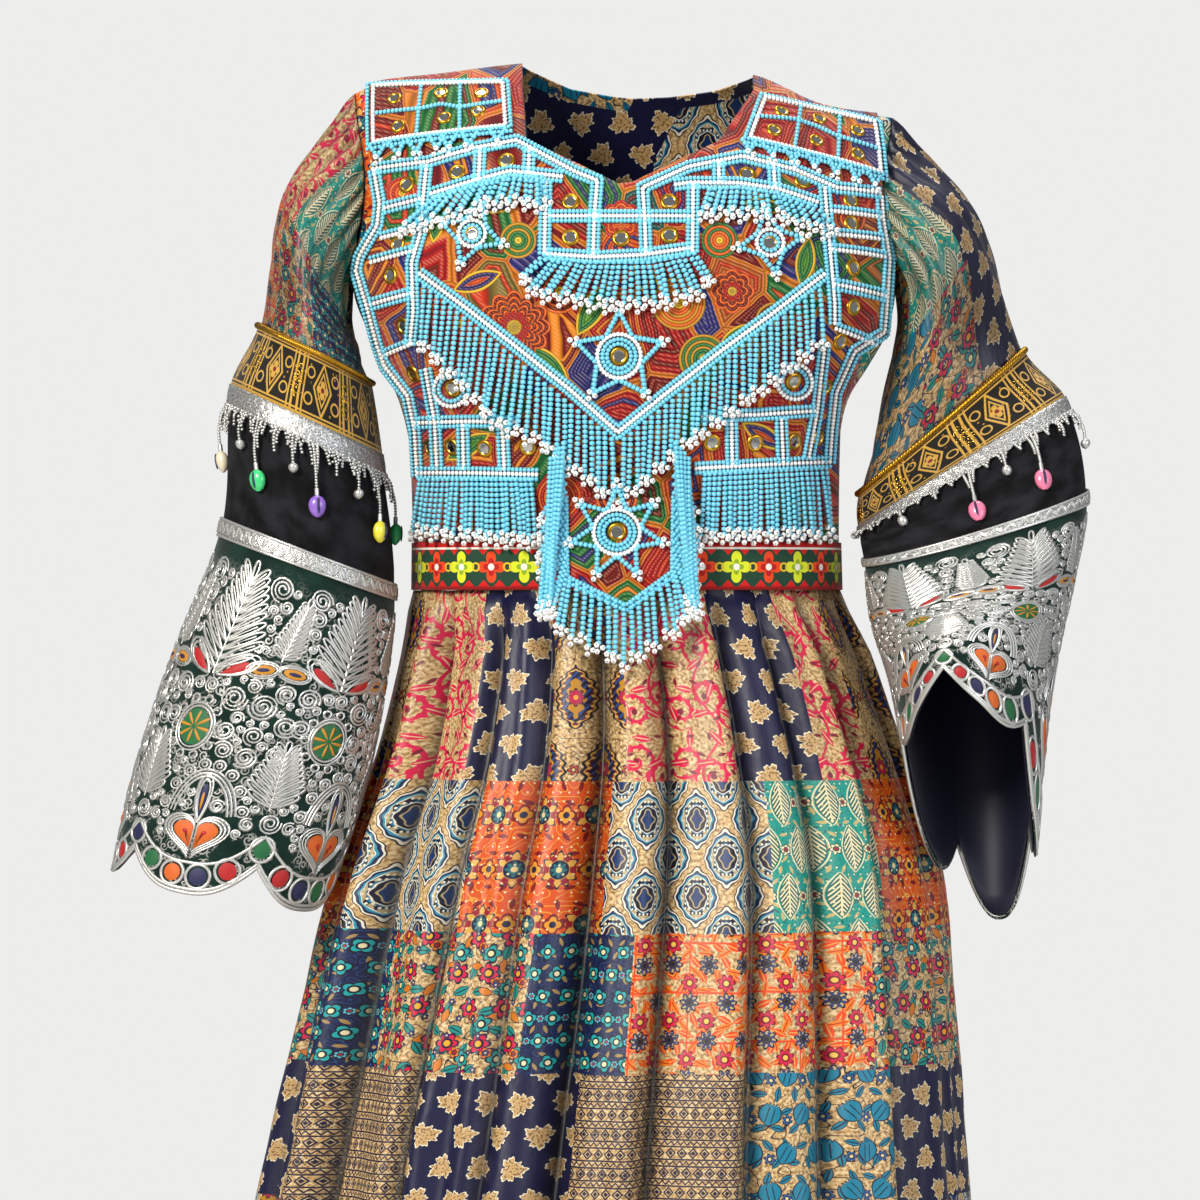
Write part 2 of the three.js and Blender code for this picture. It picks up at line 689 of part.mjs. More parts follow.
function skirtPoint(turn, z) {
  const left = sample(SKIRT, 'z', 'left', z);
  const right = sample(SKIRT, 'z', 'right', z);
  const facing = Math.sin(turn) > 0 ? 'front' : 'back';
  const depth = sample(SKIRT, 'z', facing, z);
  const small = sample(SKIRT, 'z', 'small', z);
  const large = sample(SKIRT, 'z', 'large', z);
  const degrees = (turn / RAD + 360) % 360;
  const deep = SKIRT_FOLDS.reduce((sum, fold) => {
    const away = Math.abs(degrees - fold.at);
    const near = Math.min(away, 360 - away) / fold.width;
    return sum + fold.depth * Math.exp(-near * near);
  }, 0);
  const out = small * Math.cos(GATHERS * turn) + large * (0.35 - deep);
  const x = (left + right) / 2 + ((right - left) / 2 + out) * Math.cos(turn);
  return new THREE.Vector3(x, -(depth + out) * Math.sin(turn), z);
}

['front', 'back'].forEach((facing) => {
  const start = facing === 'front' ? 180 : 360;
  const seamY = facing === 'front' ? -SEAM * 0.75 : SEAM * 0.75;
  const grid = SKIRT_ROWS.map((z) =>
    Array.from({ length: SKIRT_COLUMNS + 1 }, (_, c) => {
      const turn = (start - (180 * c) / SKIRT_COLUMNS) * RAD;
      const point = skirtPoint(turn, z);
      return point.setY(c === 0 || c === SKIRT_COLUMNS ? seamY : point.y + seamY);
    }),
  );
  const flat = grid.map((row, r) =>
    row.map((_, c) => {
      const a = row[Math.max(c - 1, 0)];
      const b = row[Math.min(c + 1, SKIRT_COLUMNS)];
      const up = grid[Math.max(r - 1, 0)][c].clone().sub(grid[Math.min(r + 1, grid.length - 1)][c]);
      const out = b.clone().sub(a).cross(up);
      if (c === 0 || c === SKIRT_COLUMNS) out.y = 0;
      out.z = 0;
      return out.normalize();
    }),
  );
  add(`skirt_${facing}`, wallBetween(moved(grid, flat, -WALL), grid), 0x7c6a58, 0.4);
});

// The tab hangs over the yoke, the ribbon and the top of the skirt
const tabBase = cutOut(frontGrid, [0, 3], [TAB_FIRST, TAB_LAST + 1]);
const tabNormals = cutOut(frontNormals, [0, 3], [TAB_FIRST, TAB_LAST + 1]);
function tabPoint(c, z, lift) {
  const heights = tabBase.map((row) => row[c].z);
  const r = z > heights[1] ? 1 : 0;
  const t = (z - heights[r]) / (heights[r + 1] - heights[r]);
  const swing = (TAB_TOP_Z - z) * TAB_SWING;
  return tabBase[r][c]
    .clone()
    .lerp(tabBase[r + 1][c], t)
    .addScaledVector(tabNormals[1][c], lift + swing)
    .setZ(z);
}
const tabGrid = (lift) =>
  Array.from({ length: TAB_ROWS + 1 }, (_, r) =>
    TAB_POINT.map((point, c) => tabPoint(c, lerp(point.z, TAB_TOP_Z, r / TAB_ROWS), lift)),
  );
add('yoke_tab', wallBetween(tabGrid(TAB_LIFT), tabGrid(TAB_LIFT + YOKE_WALL)), 0xa8501c, 0.85);

// Strung bead fringes

// A strip along a line of points, between two lifts from the surface
function strip(line, height, place, lift, thickness) {
  const rows = (away) =>
    [-height / 2, height / 2].map((dz) => line.map(({ x, z }) => place(x, z + dz, away)));
  return wallBetween(rows(lift), rows(lift + thickness));
}

function lineOf(rows, count) {
  return Array.from({ length: count }, (_, i) => {
    const x = lerp(rows[0].x, rows[rows.length - 1].x, i / (count - 1));
    return { x, z: between(rows, 'x', 'z', x) };
  });
}

FRINGES.forEach(({ name, strands, steps, top, tips }) => {
  const stripLine = lineOf(top, steps);
  const pieces = [strip(stripLine, STRIP_HEIGHT, onFront, STRIP_LIFT, BEAD)];
  const reach = lineOf(top, strands + 2).slice(1, -1);
  reach.forEach(({ x, z }, i) => {
    const low = between(tips, 'x', 'z', x) + (i % 2 === 0 ? 2 : -4);
    const lift = STRIP_LIFT + BEAD / 2;
    const root = onFront(x, z - STRIP_HEIGHT / 2 + 2, lift);
    const tip = onFront(x, low, lift + TIP_STANDS_OFF);
    pieces.push(bar([root, tip], [STRAND_RADIUS, STRAND_RADIUS], 3));
  });
  add(name, joined(pieces), 0x6ec8e6, 0.35);
});

// The tab's fringe: a strip round its rim, with strands that hang clear of the skirt
function tabFront(x, z, lift) {
  const top = onFront(x, Math.max(z, WAIST_Z + 2), TAB_LIFT + YOKE_WALL + lift);
  return new THREE.Vector3(x, top.y - (TAB_TOP_Z - z) * TAB_SWING, z);
}
function alongLine(line, count) {
  const curve = new THREE.CurvePath();
  const at = (p) => new THREE.Vector3(p.x, 0, p.z);
  line.slice(1).forEach((p, i) => curve.add(new THREE.LineCurve3(at(line[i]), at(p))));
  return Array.from({ length: count }, (_, i) => curve.getPoint(i / (count - 1)));
}
{
  const rim = TAB_FRINGE.rim;
  const width = 7;
  const outerRim = rim.map((p) => tabFront(p.x, p.z, RIM_LIFT));
  const middle = { x: -2, z: -340 };
  const innerRim = rim.map((p) => {
    const away = Math.hypot(p.x - middle.x, p.z - middle.z);
    const t = width / away;
    return tabFront(lerp(p.x, middle.x, t), lerp(p.z, middle.z, t), RIM_LIFT);
  });
  const forward = new THREE.Vector3(0, -BEAD, 0);
  const back = [outerRim, innerRim];
  const front = back.map((row) => row.map((p) => p.clone().add(forward)));
  const pieces = [wallBetween(back, front)];
  const roots = alongLine(rim, TAB_FRINGE.strands);
  const ends = alongLine(TAB_FRINGE.tips, TAB_FRINGE.strands);
  roots.forEach((root, i) => {
    const inward = root.x < -2 ? 2 : -2;
    const top = tabFront(root.x + inward, root.z + 1, RIM_LIFT + BEAD / 2);
    const end = ends[i];
    const half = tabFront(lerp(root.x, end.x, 0.6), lerp(root.z, end.z, 0.55), 2.6 + BEAD / 2);
    const low = tabFront(end.x, end.z + (i % 2 === 0 ? 2 : -3), 2.6 + BEAD / 2);
    pieces.push(bar([top, half, low], [STRAND_RADIUS, STRAND_RADIUS, STRAND_RADIUS], 3));
  });
  add('fringe_tab', joined(pieces), 0x6ec8e6, 0.35);
}

// Sleeves

// Points of the armhole, from the shoulder tip down the front to the underarm and up the back
function armhole(side) {
  const edge = (grid, column) => grid.slice(UNDERARM_ROW).map((row) => row[column]);
  const last = COLUMNS.length - 1;
  const front = edge(frontGrid, side === 'left' ? 0 : last).reverse();
  const back = edge(backGrid, side === 'left' ? last : 0);
  return [...front, ...back.slice(1, -1)];
}

// The armhole's points shared out over a sleeve's columns, half of them on each side of the arm
function rootRing(side) {
  const hole = armhole(side);
  const half = SLEEVE_COLUMNS / 2;
  const stretch = (points) =>
    Array.from({ length: half }, (_, i) => {
      const at = (i / half) * (points.length - 1);
      const k = Math.floor(at);
      return points[k].clone().lerp(points[Math.min(k + 1, points.length - 1)], at - k);
    });
  const steps = (hole.length - (hole.length % 2)) / 2;
  const front = hole.slice(0, steps + 1);
  const back = [...hole.slice(steps), hole[0]];
  return [...stretch(front), ...stretch(back)];
}

function ringPoint(ring, turn) {
  const along = Math.cos(turn);
  const deep = Math.sin(turn);
  return new THREE.Vector3(
    lerp(ring.innerX, ring.outerX, (1 + along) / 2) + ring.shift * deep,
    ring.y - ring.depth * deep,
    lerp(ring.innerZ, ring.outerZ, (1 + along) / 2) + ring.rise * deep,
  );
}

// A sleeve's surface: one smooth line down each column, through the armhole and the rings
function sleeveOf(side) {
  const outward = side === 'left' ? -1 : 1;
  const rings = SLEEVE_RINGS[side];
  const roots = rootRing(side);
  const stations = [0, ...rings.map((ring) => ring.at)];
  const lines = roots.map((root, c) => {
    const turn = (2 * Math.PI * c) / SLEEVE_COLUMNS;
    const under = ((1 - Math.cos(turn)) / 2) ** 4;
    const start = root.clone().add(new THREE.Vector3(outward * (0.7 + 2.4 * under), 0, 0));
    return [start, ...rings.map((ring) => ringPoint(ring, turn))];
  });
  return (column, at) => {
    const points = lines[column];
    const last = points.length - 1;
    let k = 0;
    while (k < last - 1 && at > stations[k + 1]) k += 1;
    const slope = (i) => {
      const a = Math.max(i - 1, 0);
      const b = Math.min(i + 1, last);
      return points[b].clone().sub(points[a]).divideScalar(stations[b] - stations[a]);
    };
    const span = stations[k + 1] - stations[k];
    const t = (at - stations[k]) / span;
    const h = t * t * (3 - 2 * t);
    return points[k]
      .clone()
      .lerp(points[k + 1], h)
      .addScaledVector(slope(k), span * t * (1 - t) * (1 - t))
      .addScaledVector(slope(k + 1), -span * t * t * (1 - t));
  };
}

// How far the scalloped hem is cut back at a column
function scallop(column) {
  const turn = (column * SCALLOPS) / SLEEVE_COLUMNS + 0.5;
  const t = turn - Math.floor(turn);
  return SCALLOP_DEPTH * (1 - Math.sin(Math.PI * t)) ** 1.4;
}

// Rows of a sleeve's surface, with its normals taken over a short stretch on either side
function sleeveGrid(sleeve, rows) {
  const reach = 6;
  const cut = (at, c) => (at === HEM_AT ? at - scallop(c) : at);
  const columns = Array.from({ length: SLEEVE_COLUMNS }, (_, c) => c);
  const grid = rows.map((at) => columns.map((c) => sleeve(c, cut(at, c))));
  const normals = rows.map((row) =>
    columns.map((c) => {
      const at = THREE.MathUtils.clamp(cut(row, c), reach, HEM_AT - reach);
      const before = sleeve((c + SLEEVE_COLUMNS - 1) % SLEEVE_COLUMNS, at);
      const around = sleeve((c + 1) % SLEEVE_COLUMNS, at).sub(before);
      const down = sleeve(c, at + reach).sub(sleeve(c, at - reach));
      const out = around.cross(down).normalize();
      const middle = sleeve((c + SLEEVE_COLUMNS / 2) % SLEEVE_COLUMNS, at).lerp(sleeve(c, at), 0.5);
      return out.dot(sleeve(c, at).sub(middle)) < 0 ? out.negate() : out;
    }),
  );
  return { grid, normals };
}

// At the armhole the wall runs straight out of the arm, so that it stays off the bodice's edge
function clearRoot({ grid, normals }, side) {
  const outward = side === 'left' ? -1 : 1;
  normals[0].forEach((n, c) => {
    const under = (1 - Math.cos((2 * Math.PI * c) / SLEEVE_COLUMNS)) / 2;
    if (n.x * outward > 0 && under < 0.8) n.setX(0).normalize();
  });
  return { grid, normals };
}

function cordRing(sleeve) {
  const { grid, normals } = sleeveGrid(sleeve, [CORD_AT - 4, CORD_AT, CORD_AT + 4]);
  const sides = 4;
  const section = Array.from({ length: sides }, (_, k) => {
    const turn = (2 * Math.PI * (k + 0.5)) / sides;
    return grid[1].map((p, c) => {
      const down = grid[2][c].clone().sub(grid[0][c]).normalize();
      return p
        .clone()
        .addScaledVector(normals[1][c], SEAM + CORD_RADIUS * (1 + Math.cos(turn)))
        .addScaledVector(down, CORD_RADIUS * Math.sin(turn));
    });
  });
  const points = section.flat();
  const faces = [];
  for (let k = 0; k < sides; k += 1) {
    for (let c = 0; c < SLEEVE_COLUMNS; c += 1) {
      const a = k * SLEEVE_COLUMNS + c;
      const b = k * SLEEVE_COLUMNS + ((c + 1) % SLEEVE_COLUMNS);
      const next = ((k + 1) % sides) * SLEEVE_COLUMNS;
      const d = next + c;
      const e = next + ((c + 1) % SLEEVE_COLUMNS);
      faces.push([a, b, e], [a, e, d]);
    }
  }
  return solidOf(points, faces);
}

// A point on the sleeve between its columns
function aroundSleeve({ grid, normals }, row, turn, lift) {
  const at = (turn / 360) * SLEEVE_COLUMNS;
  const c = Math.floor(at) % SLEEVE_COLUMNS;
  const d = (c + 1) % SLEEVE_COLUMNS;
  const t = at - Math.floor(at);
  const out = normals[row][c].clone().lerp(normals[row][d], t).normalize();
  return grid[row][c].clone().lerp(grid[row][d], t).addScaledVector(out, lift);
}

function trimWithStrands(sleeve, side) {
  const trim = sleeveGrid(sleeve, TRIM.rows);
  const wall = wallBetween(
    moved(trim.grid, trim.normals, TRIM.lift),
    moved(trim.grid, trim.normals, TRIM.lift + TRIM.wall),
    true,
  );
  const pieces = [wall];
  const middle = TRIM.lift + TRIM.wall / 2;
  SLEEVE_STRANDS[side].forEach(({ turn, drop, size }) => {
    const top = aroundSleeve(trim, 1, turn, middle);
    const above = aroundSleeve(trim, 0, turn, middle);
    const root = top.clone().lerp(above, 0.15);
    const ends = sleeveGrid(sleeve, [TRIM.rows[1] + drop]);
    const end = aroundSleeve(ends, 0, turn, middle + size * 0.55 + 1.8);
    const down = end.clone().sub(top).normalize();
    const pendant = size > 0 ? [0.9, 2].map((k) => end.clone().addScaledVector(down, k * size)) : [];
    const widths = size > 0 ? [0.68 * size, 0.25 * size] : [];
    pieces.push(bar([root, end, ...pendant], [1.3, 1.3, ...widths], size > 0 ? 4 : 3));
  });
  return joined(pieces);
}

['left', 'right'].forEach((side) => {
  const sleeve = sleeveOf(side);
  SLEEVE_PIECES.forEach((piece) => {
    let surface = sleeveGrid(sleeve, piece.rows);
    if (piece.name === 'upper') surface = clearRoot(surface, side);
    const { grid, normals } = surface;
    const outer = moved(grid, normals, piece.lift);
    const inner = moved(grid, normals, piece.lift - piece.wall);
    add(`sleeve_${side}_${piece.name}`, wallBetween(inner, outer, true), piece.colour, piece.rough);
  });
  add(`sleeve_${side}_cord`, cordRing(sleeve), 0xc8961e, 0.4, 0.6);
  add(`sleeve_${side}_fringe`, trimWithStrands(sleeve, side), 0xbebeb9, 0.4, 0.5);
});

export default dress;
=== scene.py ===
"""A long beaded and embroidered dress: cloth, beads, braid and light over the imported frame."""

import math

import bpy
import numpy as np
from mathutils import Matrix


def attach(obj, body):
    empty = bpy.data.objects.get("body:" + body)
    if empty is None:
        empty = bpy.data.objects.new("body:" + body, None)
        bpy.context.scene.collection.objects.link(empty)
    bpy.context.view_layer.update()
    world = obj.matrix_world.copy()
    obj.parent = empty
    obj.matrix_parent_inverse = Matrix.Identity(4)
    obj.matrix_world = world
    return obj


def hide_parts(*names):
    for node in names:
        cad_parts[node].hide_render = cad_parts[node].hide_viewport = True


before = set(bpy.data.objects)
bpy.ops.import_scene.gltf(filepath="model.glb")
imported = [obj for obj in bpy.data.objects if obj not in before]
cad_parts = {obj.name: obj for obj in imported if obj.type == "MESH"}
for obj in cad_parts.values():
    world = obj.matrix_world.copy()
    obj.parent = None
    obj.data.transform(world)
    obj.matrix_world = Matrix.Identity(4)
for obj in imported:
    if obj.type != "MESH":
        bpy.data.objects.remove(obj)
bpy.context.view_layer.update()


def named_rows(names, values):
    """A table: each row of values as a dict under the names."""
    return [dict(zip(names.split(), row)) for row in values]


# Sizes are in millimetres, in the frame's own axes, and meshes are scaled to metres as they are made.
MM = 0.001
# One pixel of the photograph on the plane between the shoulders, and the pixel of the origin
PIXEL = 0.8
PIXEL_X = 622
PIXEL_Z = 100

WAIST_Z = -392
BAND_TOP_Z = -354
BUST_Z = -190
UNDERARM_Z = -154
CHEST_TOP_Z = -40
BACK_TURN_Z = -150
HEM_Z = -1340
FRONT_DOME = 1.3
BACK_DOME = 1.2
ARMHOLE_INSET = 0.24
SEAM_Y = 0.225
CLOTH = 1.0
YOKE_LIFT = 2.3
TAB_TOP_Z = -320
TAB_SWING = 0.18
TAB_LIFT = 4.8
BEAD = 3.9

BODICE = named_rows("z left right front back power", [
    (-392, -167, 174, 118, 100, 2.2), (-300, -167, 172, 128, 104, 2.3),
    (-266, -172, 174, 135, 107, 2.4), (-238, -180, 181, 141, 109, 2.5),
    (-214, -191, 196, 145, 111, 2.6), (-187, -203, 211, 146, 112, 2.6),
    (-154, -215, 218, 146, 114, 2.6), (-100, -216, 217, 146, 114, 2.6), (30, -213, 214, 146, 114, 2.6),
])
SHOULDER_LINE = named_rows("x z", [
    (-214, 5), (-196, 13), (-146, 19), (-80, 27), (0, 30), (104, 18), (158, -5), (214, -14),
])
FRONT_NECK = named_rows("x z", [
    (-76, -40), (-42, -56), (2, -78), (37, -60), (74, -42),
])
BACK_NECK = named_rows("x z", [
    (-80, 27), (-42, 12), (2, 5), (37, 6), (74, 10), (104, 18),
])
NECK_SIDES = named_rows("z left right", [
    (-42, -76, 74), (-21, -77, 88), (4, -79, 104), (27, -80, 104),
])
YOKE_SIDES = named_rows("z left right", [
    (-392, -163, 169), (-250, -168, 171), (-225, -178, 182), (-200, -190, 188), (-187, -194, 203),
    (-138, -208, 208), (-106, -193, 204), (-66, -196, 204), (10, -201, 203),
])
SKIRT = named_rows("z left right front back small large", [
    (-392.4, -166, 173, 117, 99, 1.5, 0), (-404, -169, 177, 121, 103, 4, 1),
    (-440, -174, 194, 131, 115, 5, 3), (-528, -196, 226, 152, 140, 4, 8),
    (-610, -226, 250, 171, 163, 2, 12), (-710, -250, 260, 190, 186, 1, 15),
    (-880, -288, 272, 216, 216, 0, 18), (-1110, -332, 292, 245, 248, 0, 20),
    (HEM_Z, -370, 312, 270, 276, 0, 22),
])
# Deep folds: at is the angle from the right side through the front, in degrees
SKIRT_FOLDS = named_rows("at width depth", [
    (12, 7, 0.8), (33, 6, 0.7), (52, 5, 0.9), (66, 5, 0.6), (82, 5, 0.9), (99, 6, 1.1), (118, 5, 0.6),
    (141, 7, 1.1), (163, 6, 0.8), (187, 7, 0.9), (209, 6, 0.8), (231, 6, 1.0), (254, 6, 0.8),
    (276, 6, 1.0), (299, 6, 0.7), (322, 7, 1.0), (345, 6, 0.8),
])
SLEEVE_RINGS = {
    "left": named_rows("at outer inner y depth rise shift", [
        (80, (-268, -74), (-217, -184), -4, 84, 0, 0),
        (190, (-288, -182), (-202, -228), -18, 84, 0, 0),
        (240, (-310, -230), (-193, -286), -26, 86, 0, 0),
        (362, (-317, -342), (-182, -394), -46, 82, 0, 0),
        (450, (-356, -446), (-189, -472), -58, 80, 0, 0),
        (545, (-386, -540), (-208, -560), -64, 78, 0, 0),
        (630, (-402, -614), (-236, -644), -66, 76, -4, 0),
    ]),
    "right": named_rows("at outer inner y depth rise shift", [
        (80, (280, -90), (220, -190), -4, 80, 0, 0),
        (190, (318, -202), (190, -316), -22, 44, 0, 0),
        (240, (350, -240), (189, -342), -34, 54, 0, 0),
        (362, (365, -318), (192, -370), -66, 70, -8, 0),
        (450, (352, -388), (196, -416), -96, 84, 6, 0),
        (545, (334, -468), (210, -464), -118, 84, 44, -6),
        (630, (320, -582), (224, -538), -132, 74, 90, -12),
    ]),
}
# Distances down the sleeve, from the shoulder seam
CORD_AT = 190
LACE_AT = 238.5
BAND_END = 240
BRAID_AT = 354.5
BELL_AT = 362
BELL_TOP_AT = 369
HEM_AT = 630
SCALLOPS = 5
SCALLOP_DEPTH = 28
SLEEVE_LINES = 20


# Tables and curves


def around(count):
    """The angles of a full turn in even steps."""
    return np.linspace(0, 2 * math.pi, count, endpoint=False)


def unit(v):
    v = np.asarray(v, float)
    return v / (np.linalg.norm(v, axis=-1, keepdims=True) + 1e-12)


def spokes(side, other, count):
    """Directions in even steps round each axis whose two perpendiculars are side and other."""
    angles = around(count)[:, None]
    return side[:, None] * np.cos(angles) + other[:, None] * np.sin(angles)


def to_mm(points):
    xy = np.asarray(points, float)
    return np.stack([(xy[:, 0] - PIXEL_X) * PIXEL, (PIXEL_Z - xy[:, 1]) * PIXEL], -1)


def smooth(table, along, column):
    """A column of a table as a function of another column, rounded through its rows."""
    rows = sorted(table, key=lambda row: row[along])
    xs = np.array([row[along] for row in rows], float)
    ys = np.array([row[column] for row in rows], float)
    low = np.maximum(np.arange(len(xs)) - 1, 0)
    high = np.minimum(np.arange(len(xs)) + 1, len(xs) - 1)
    slopes = (ys[high] - ys[low]) / (xs[high] - xs[low])

    def value(at):
        at = np.clip(at, xs[0], xs[-1])
        k = np.clip(np.searchsorted(xs, at, side="right") - 1, 0, len(xs) - 2)
        span = xs[k + 1] - xs[k]
        t = (at - xs[k]) / span
        turn = slopes[k] * t * (1 - t) ** 2 - slopes[k + 1] * t * t * (1 - t)
        return ys[k] + (ys[k + 1] - ys[k]) * t * t * (3 - 2 * t) + span * turn

    return value


def straight(table, along, column):
    rows = sorted(table, key=lambda row: row[along])
    xs = [row[along] for row in rows]
    ys = [row[column] for row in rows]
    return lambda at: np.interp(at, xs, ys)


def wave(x, seed):
    """A smooth uneven wave between about -1 and 1."""
    return (
        np.sin(x + seed)
        + 0.6 * np.sin(2.3 * x + 1.7 * seed + 0.8)
        + 0.4 * np.sin(4.1 * x + 2.9 * seed)
    ) / 2.0


# The bodice

bodice = {name: smooth(BODICE, "z", name) for name in ("left", "right", "front", "back", "power")}
shoulder_z = smooth(SHOULDER_LINE, "x", "z")
front_neck_z = straight(FRONT_NECK, "x", "z")
back_neck_z = straight(BACK_NECK, "x", "z")
neck_side = {name: straight(NECK_SIDES, "z", name) for name in ("left", "right")}
yoke_side = {name: straight(YOKE_SIDES, "z", name) for name in ("left", "right")}


def share_at(x, z):
    middle = (bodice["left"](z) + bodice["right"](z)) / 2
    half = (bodice["right"](z) - bodice["left"](z)) / 2
    across = np.clip((x - middle) / half, -1, 1)
    return np.sign(across) * np.arcsin(np.abs(across) ** (bodice["power"](z) / 2)) / (math.pi / 2)


def bodice_point(share, z, facing):
    """A point of the bodice at a share of the way from the middle to the side seam."""
    middle = (bodice["left"](z) + bodice["right"](z)) / 2
    half = (bodice["right"](z) - bodice["left"](z)) / 2
    power = bodice["power"](z)
    sine = np.sin(share * math.pi / 2)
    x = middle + half * np.sign(sine) * np.abs(sine) ** (2 / power)
    front = facing == "front"
    turn_z = BUST_Z if front else BACK_TURN_Z
    height = np.clip((z - turn_z) / (shoulder_z(x) - turn_z), 0, 1)
    dome = (1 - height**2) ** ((FRONT_DOME if front else BACK_DOME) / 2)
    depth = bodice[facing](z) * np.maximum(np.cos(share * math.pi / 2), 0) ** (2 / power)
    y = depth * dome + SEAM_Y
    return np.stack([x, -y if front else y, z + 0 * x], -1)


def front_point(x, z, lift=0.0):
    """Points on the front of the bodice at x and z, moved off it by lift."""
    x, z = np.broadcast_arrays(np.asarray(x, float), np.asarray(z, float))
    low = np.maximum(z, WAIST_Z)
    base = bodice_point(share_at(x, low), low, "front")
    step = 1.5
    across = bodice_point(share_at(x + step, low), low, "front") - bodice_point(
        share_at(x - step, low), low, "front"
    )
    down = np.maximum(low - step, WAIST_Z)
    up = low + step
    rise = bodice_point(share_at(x, up), up, "front") - bodice_point(share_at(x, down), down, "front")
    normal = np.cross(across, rise)
    normal /= np.linalg.norm(normal, axis=-1, keepdims=True)
    base[..., 2] = z
    return base + normal * np.asarray(lift, float)[..., None], normal


def edge_share(part):
    return 1 - ARMHOLE_INSET * np.sin(math.pi * np.clip(part, 0, 1)) ** 0.8


def guide_share(name, z, part):
    if name == "left edge":
        return -edge_share(part)
    if name == "right edge":
        return edge_share(part)
    side, line = name.split()
    return share_at({"yoke": yoke_side, "neck": neck_side}[line][side](z), z)


BODICE_GUIDES = ["left edge", "left yoke", "left neck", "right neck", "right yoke", "right edge"]
BODICE_CELLS = [4, 22, 30, 22, 4]
LOW_ROWS = np.concatenate([np.linspace(WAIST_Z, BAND_TOP_Z, 6), np.linspace(BAND_TOP_Z, BUST_Z, 27)[1:]])
CHEST_ROWS = np.linspace(0, 1, 25)[1:]
TOP_ROWS = np.sin(np.linspace(0, math.pi / 2, 15))[1:]
CHEST_ROW = len(LOW_ROWS) + len(CHEST_ROWS) - 1
GUIDE_COLUMNS = [0, *np.cumsum(BODICE_CELLS)]


def bodice_column(cell, part, facing):
    names = BODICE_GUIDES[cell], BODICE_GUIDES[cell + 1]

    def share(z, armhole):
        a, b = (guide_share(name, z, armhole) for name in names)
        return a + (b - a) * part

    ridge = 0.0
    for _ in range(5):
        top_x = bodice_point(share(ridge, 1.0), ridge, facing)[..., 0]
        ridge = float(shoulder_z(top_x))
    in_neck = cell == 2 and 0 < part < 1
    on_neck = cell == 2 or (cell == 1 and part == 1) or (cell == 3 and part == 0)
    if facing == "front":
        chest_x = bodice_point(share(CHEST_TOP_Z, 0.6), CHEST_TOP_Z, facing)[..., 0]
        chest = float(front_neck_z(chest_x)) if on_neck else CHEST_TOP_Z
        heights = np.concatenate(
            [LOW_ROWS, BUST_Z + (chest - BUST_Z) * CHEST_ROWS, chest + (ridge - chest) * TOP_ROWS]
        )
    else:
        top = float(back_neck_z(top_x)) if in_neck else ridge
        upper = np.concatenate([CHEST_ROWS * 0.7, 0.7 + 0.3 * TOP_ROWS])
        heights = np.concatenate([LOW_ROWS, BUST_Z + (top - BUST_Z) * upper])
    armhole = (heights - UNDERARM_Z) / (ridge - UNDERARM_Z)
    return bodice_point(share(heights, armhole), heights, facing)


def bodice_grid(facing):
    """Rows of points from the waist up, their columns from left to right."""
    columns = []
    for cell, count in enumerate(BODICE_CELLS):
        columns += [bodice_column(cell, i / count, facing) for i in range(count)]
    columns.append(bodice_column(len(BODICE_CELLS) - 1, 1.0, facing))
    return np.stack(columns, 1)


# The skirt

skirt = {name: smooth(SKIRT, "z", name) for name in SKIRT[0] if name != "z"}


SKIRT_PLEATS = named_rows("at width depth lean reach side", [
    (84.0, 2.2, 16, 1.0, 1.2, 1), (99.0, 2.6, 19, 3.0, 1.2, -1), (112.0, 2.0, 12, 2.0, 0.8, 1),
    (126.0, 2.4, 14, 4.0, 1.2, -1), (146.0, 2.8, 19, 3.0, 1.2, 1), (167.0, 2.4, 13, 1.0, 1.0, -1),
    (68.0, 2.2, 13, -2.0, 1.0, 1), (54.0, 2.0, 12, -3.0, 0.7, -1), (38.0, 2.6, 16, -2.0, 1.2, 1),
    (16.0, 2.4, 13, -1.0, 0.9, -1), (190.0, 2.6, 14, 1.0, 1.2, 1), (212.0, 2.4, 14, -2.0, 1.0, -1),
    (231.0, 2.8, 17, -3.0, 1.2, 1), (249.0, 2.2, 12, -1.0, 0.8, -1), (263.0, 2.6, 19, 1.0, 1.2, 1),
    (279.0, 2.2, 13, 2.0, 1.0, -1), (296.0, 2.6, 16, 3.0, 1.2, 1), (318.0, 2.4, 13, 3.0, 0.9, -1),
    (340.0, 2.6, 16, 1.0, 1.2, 1),
])


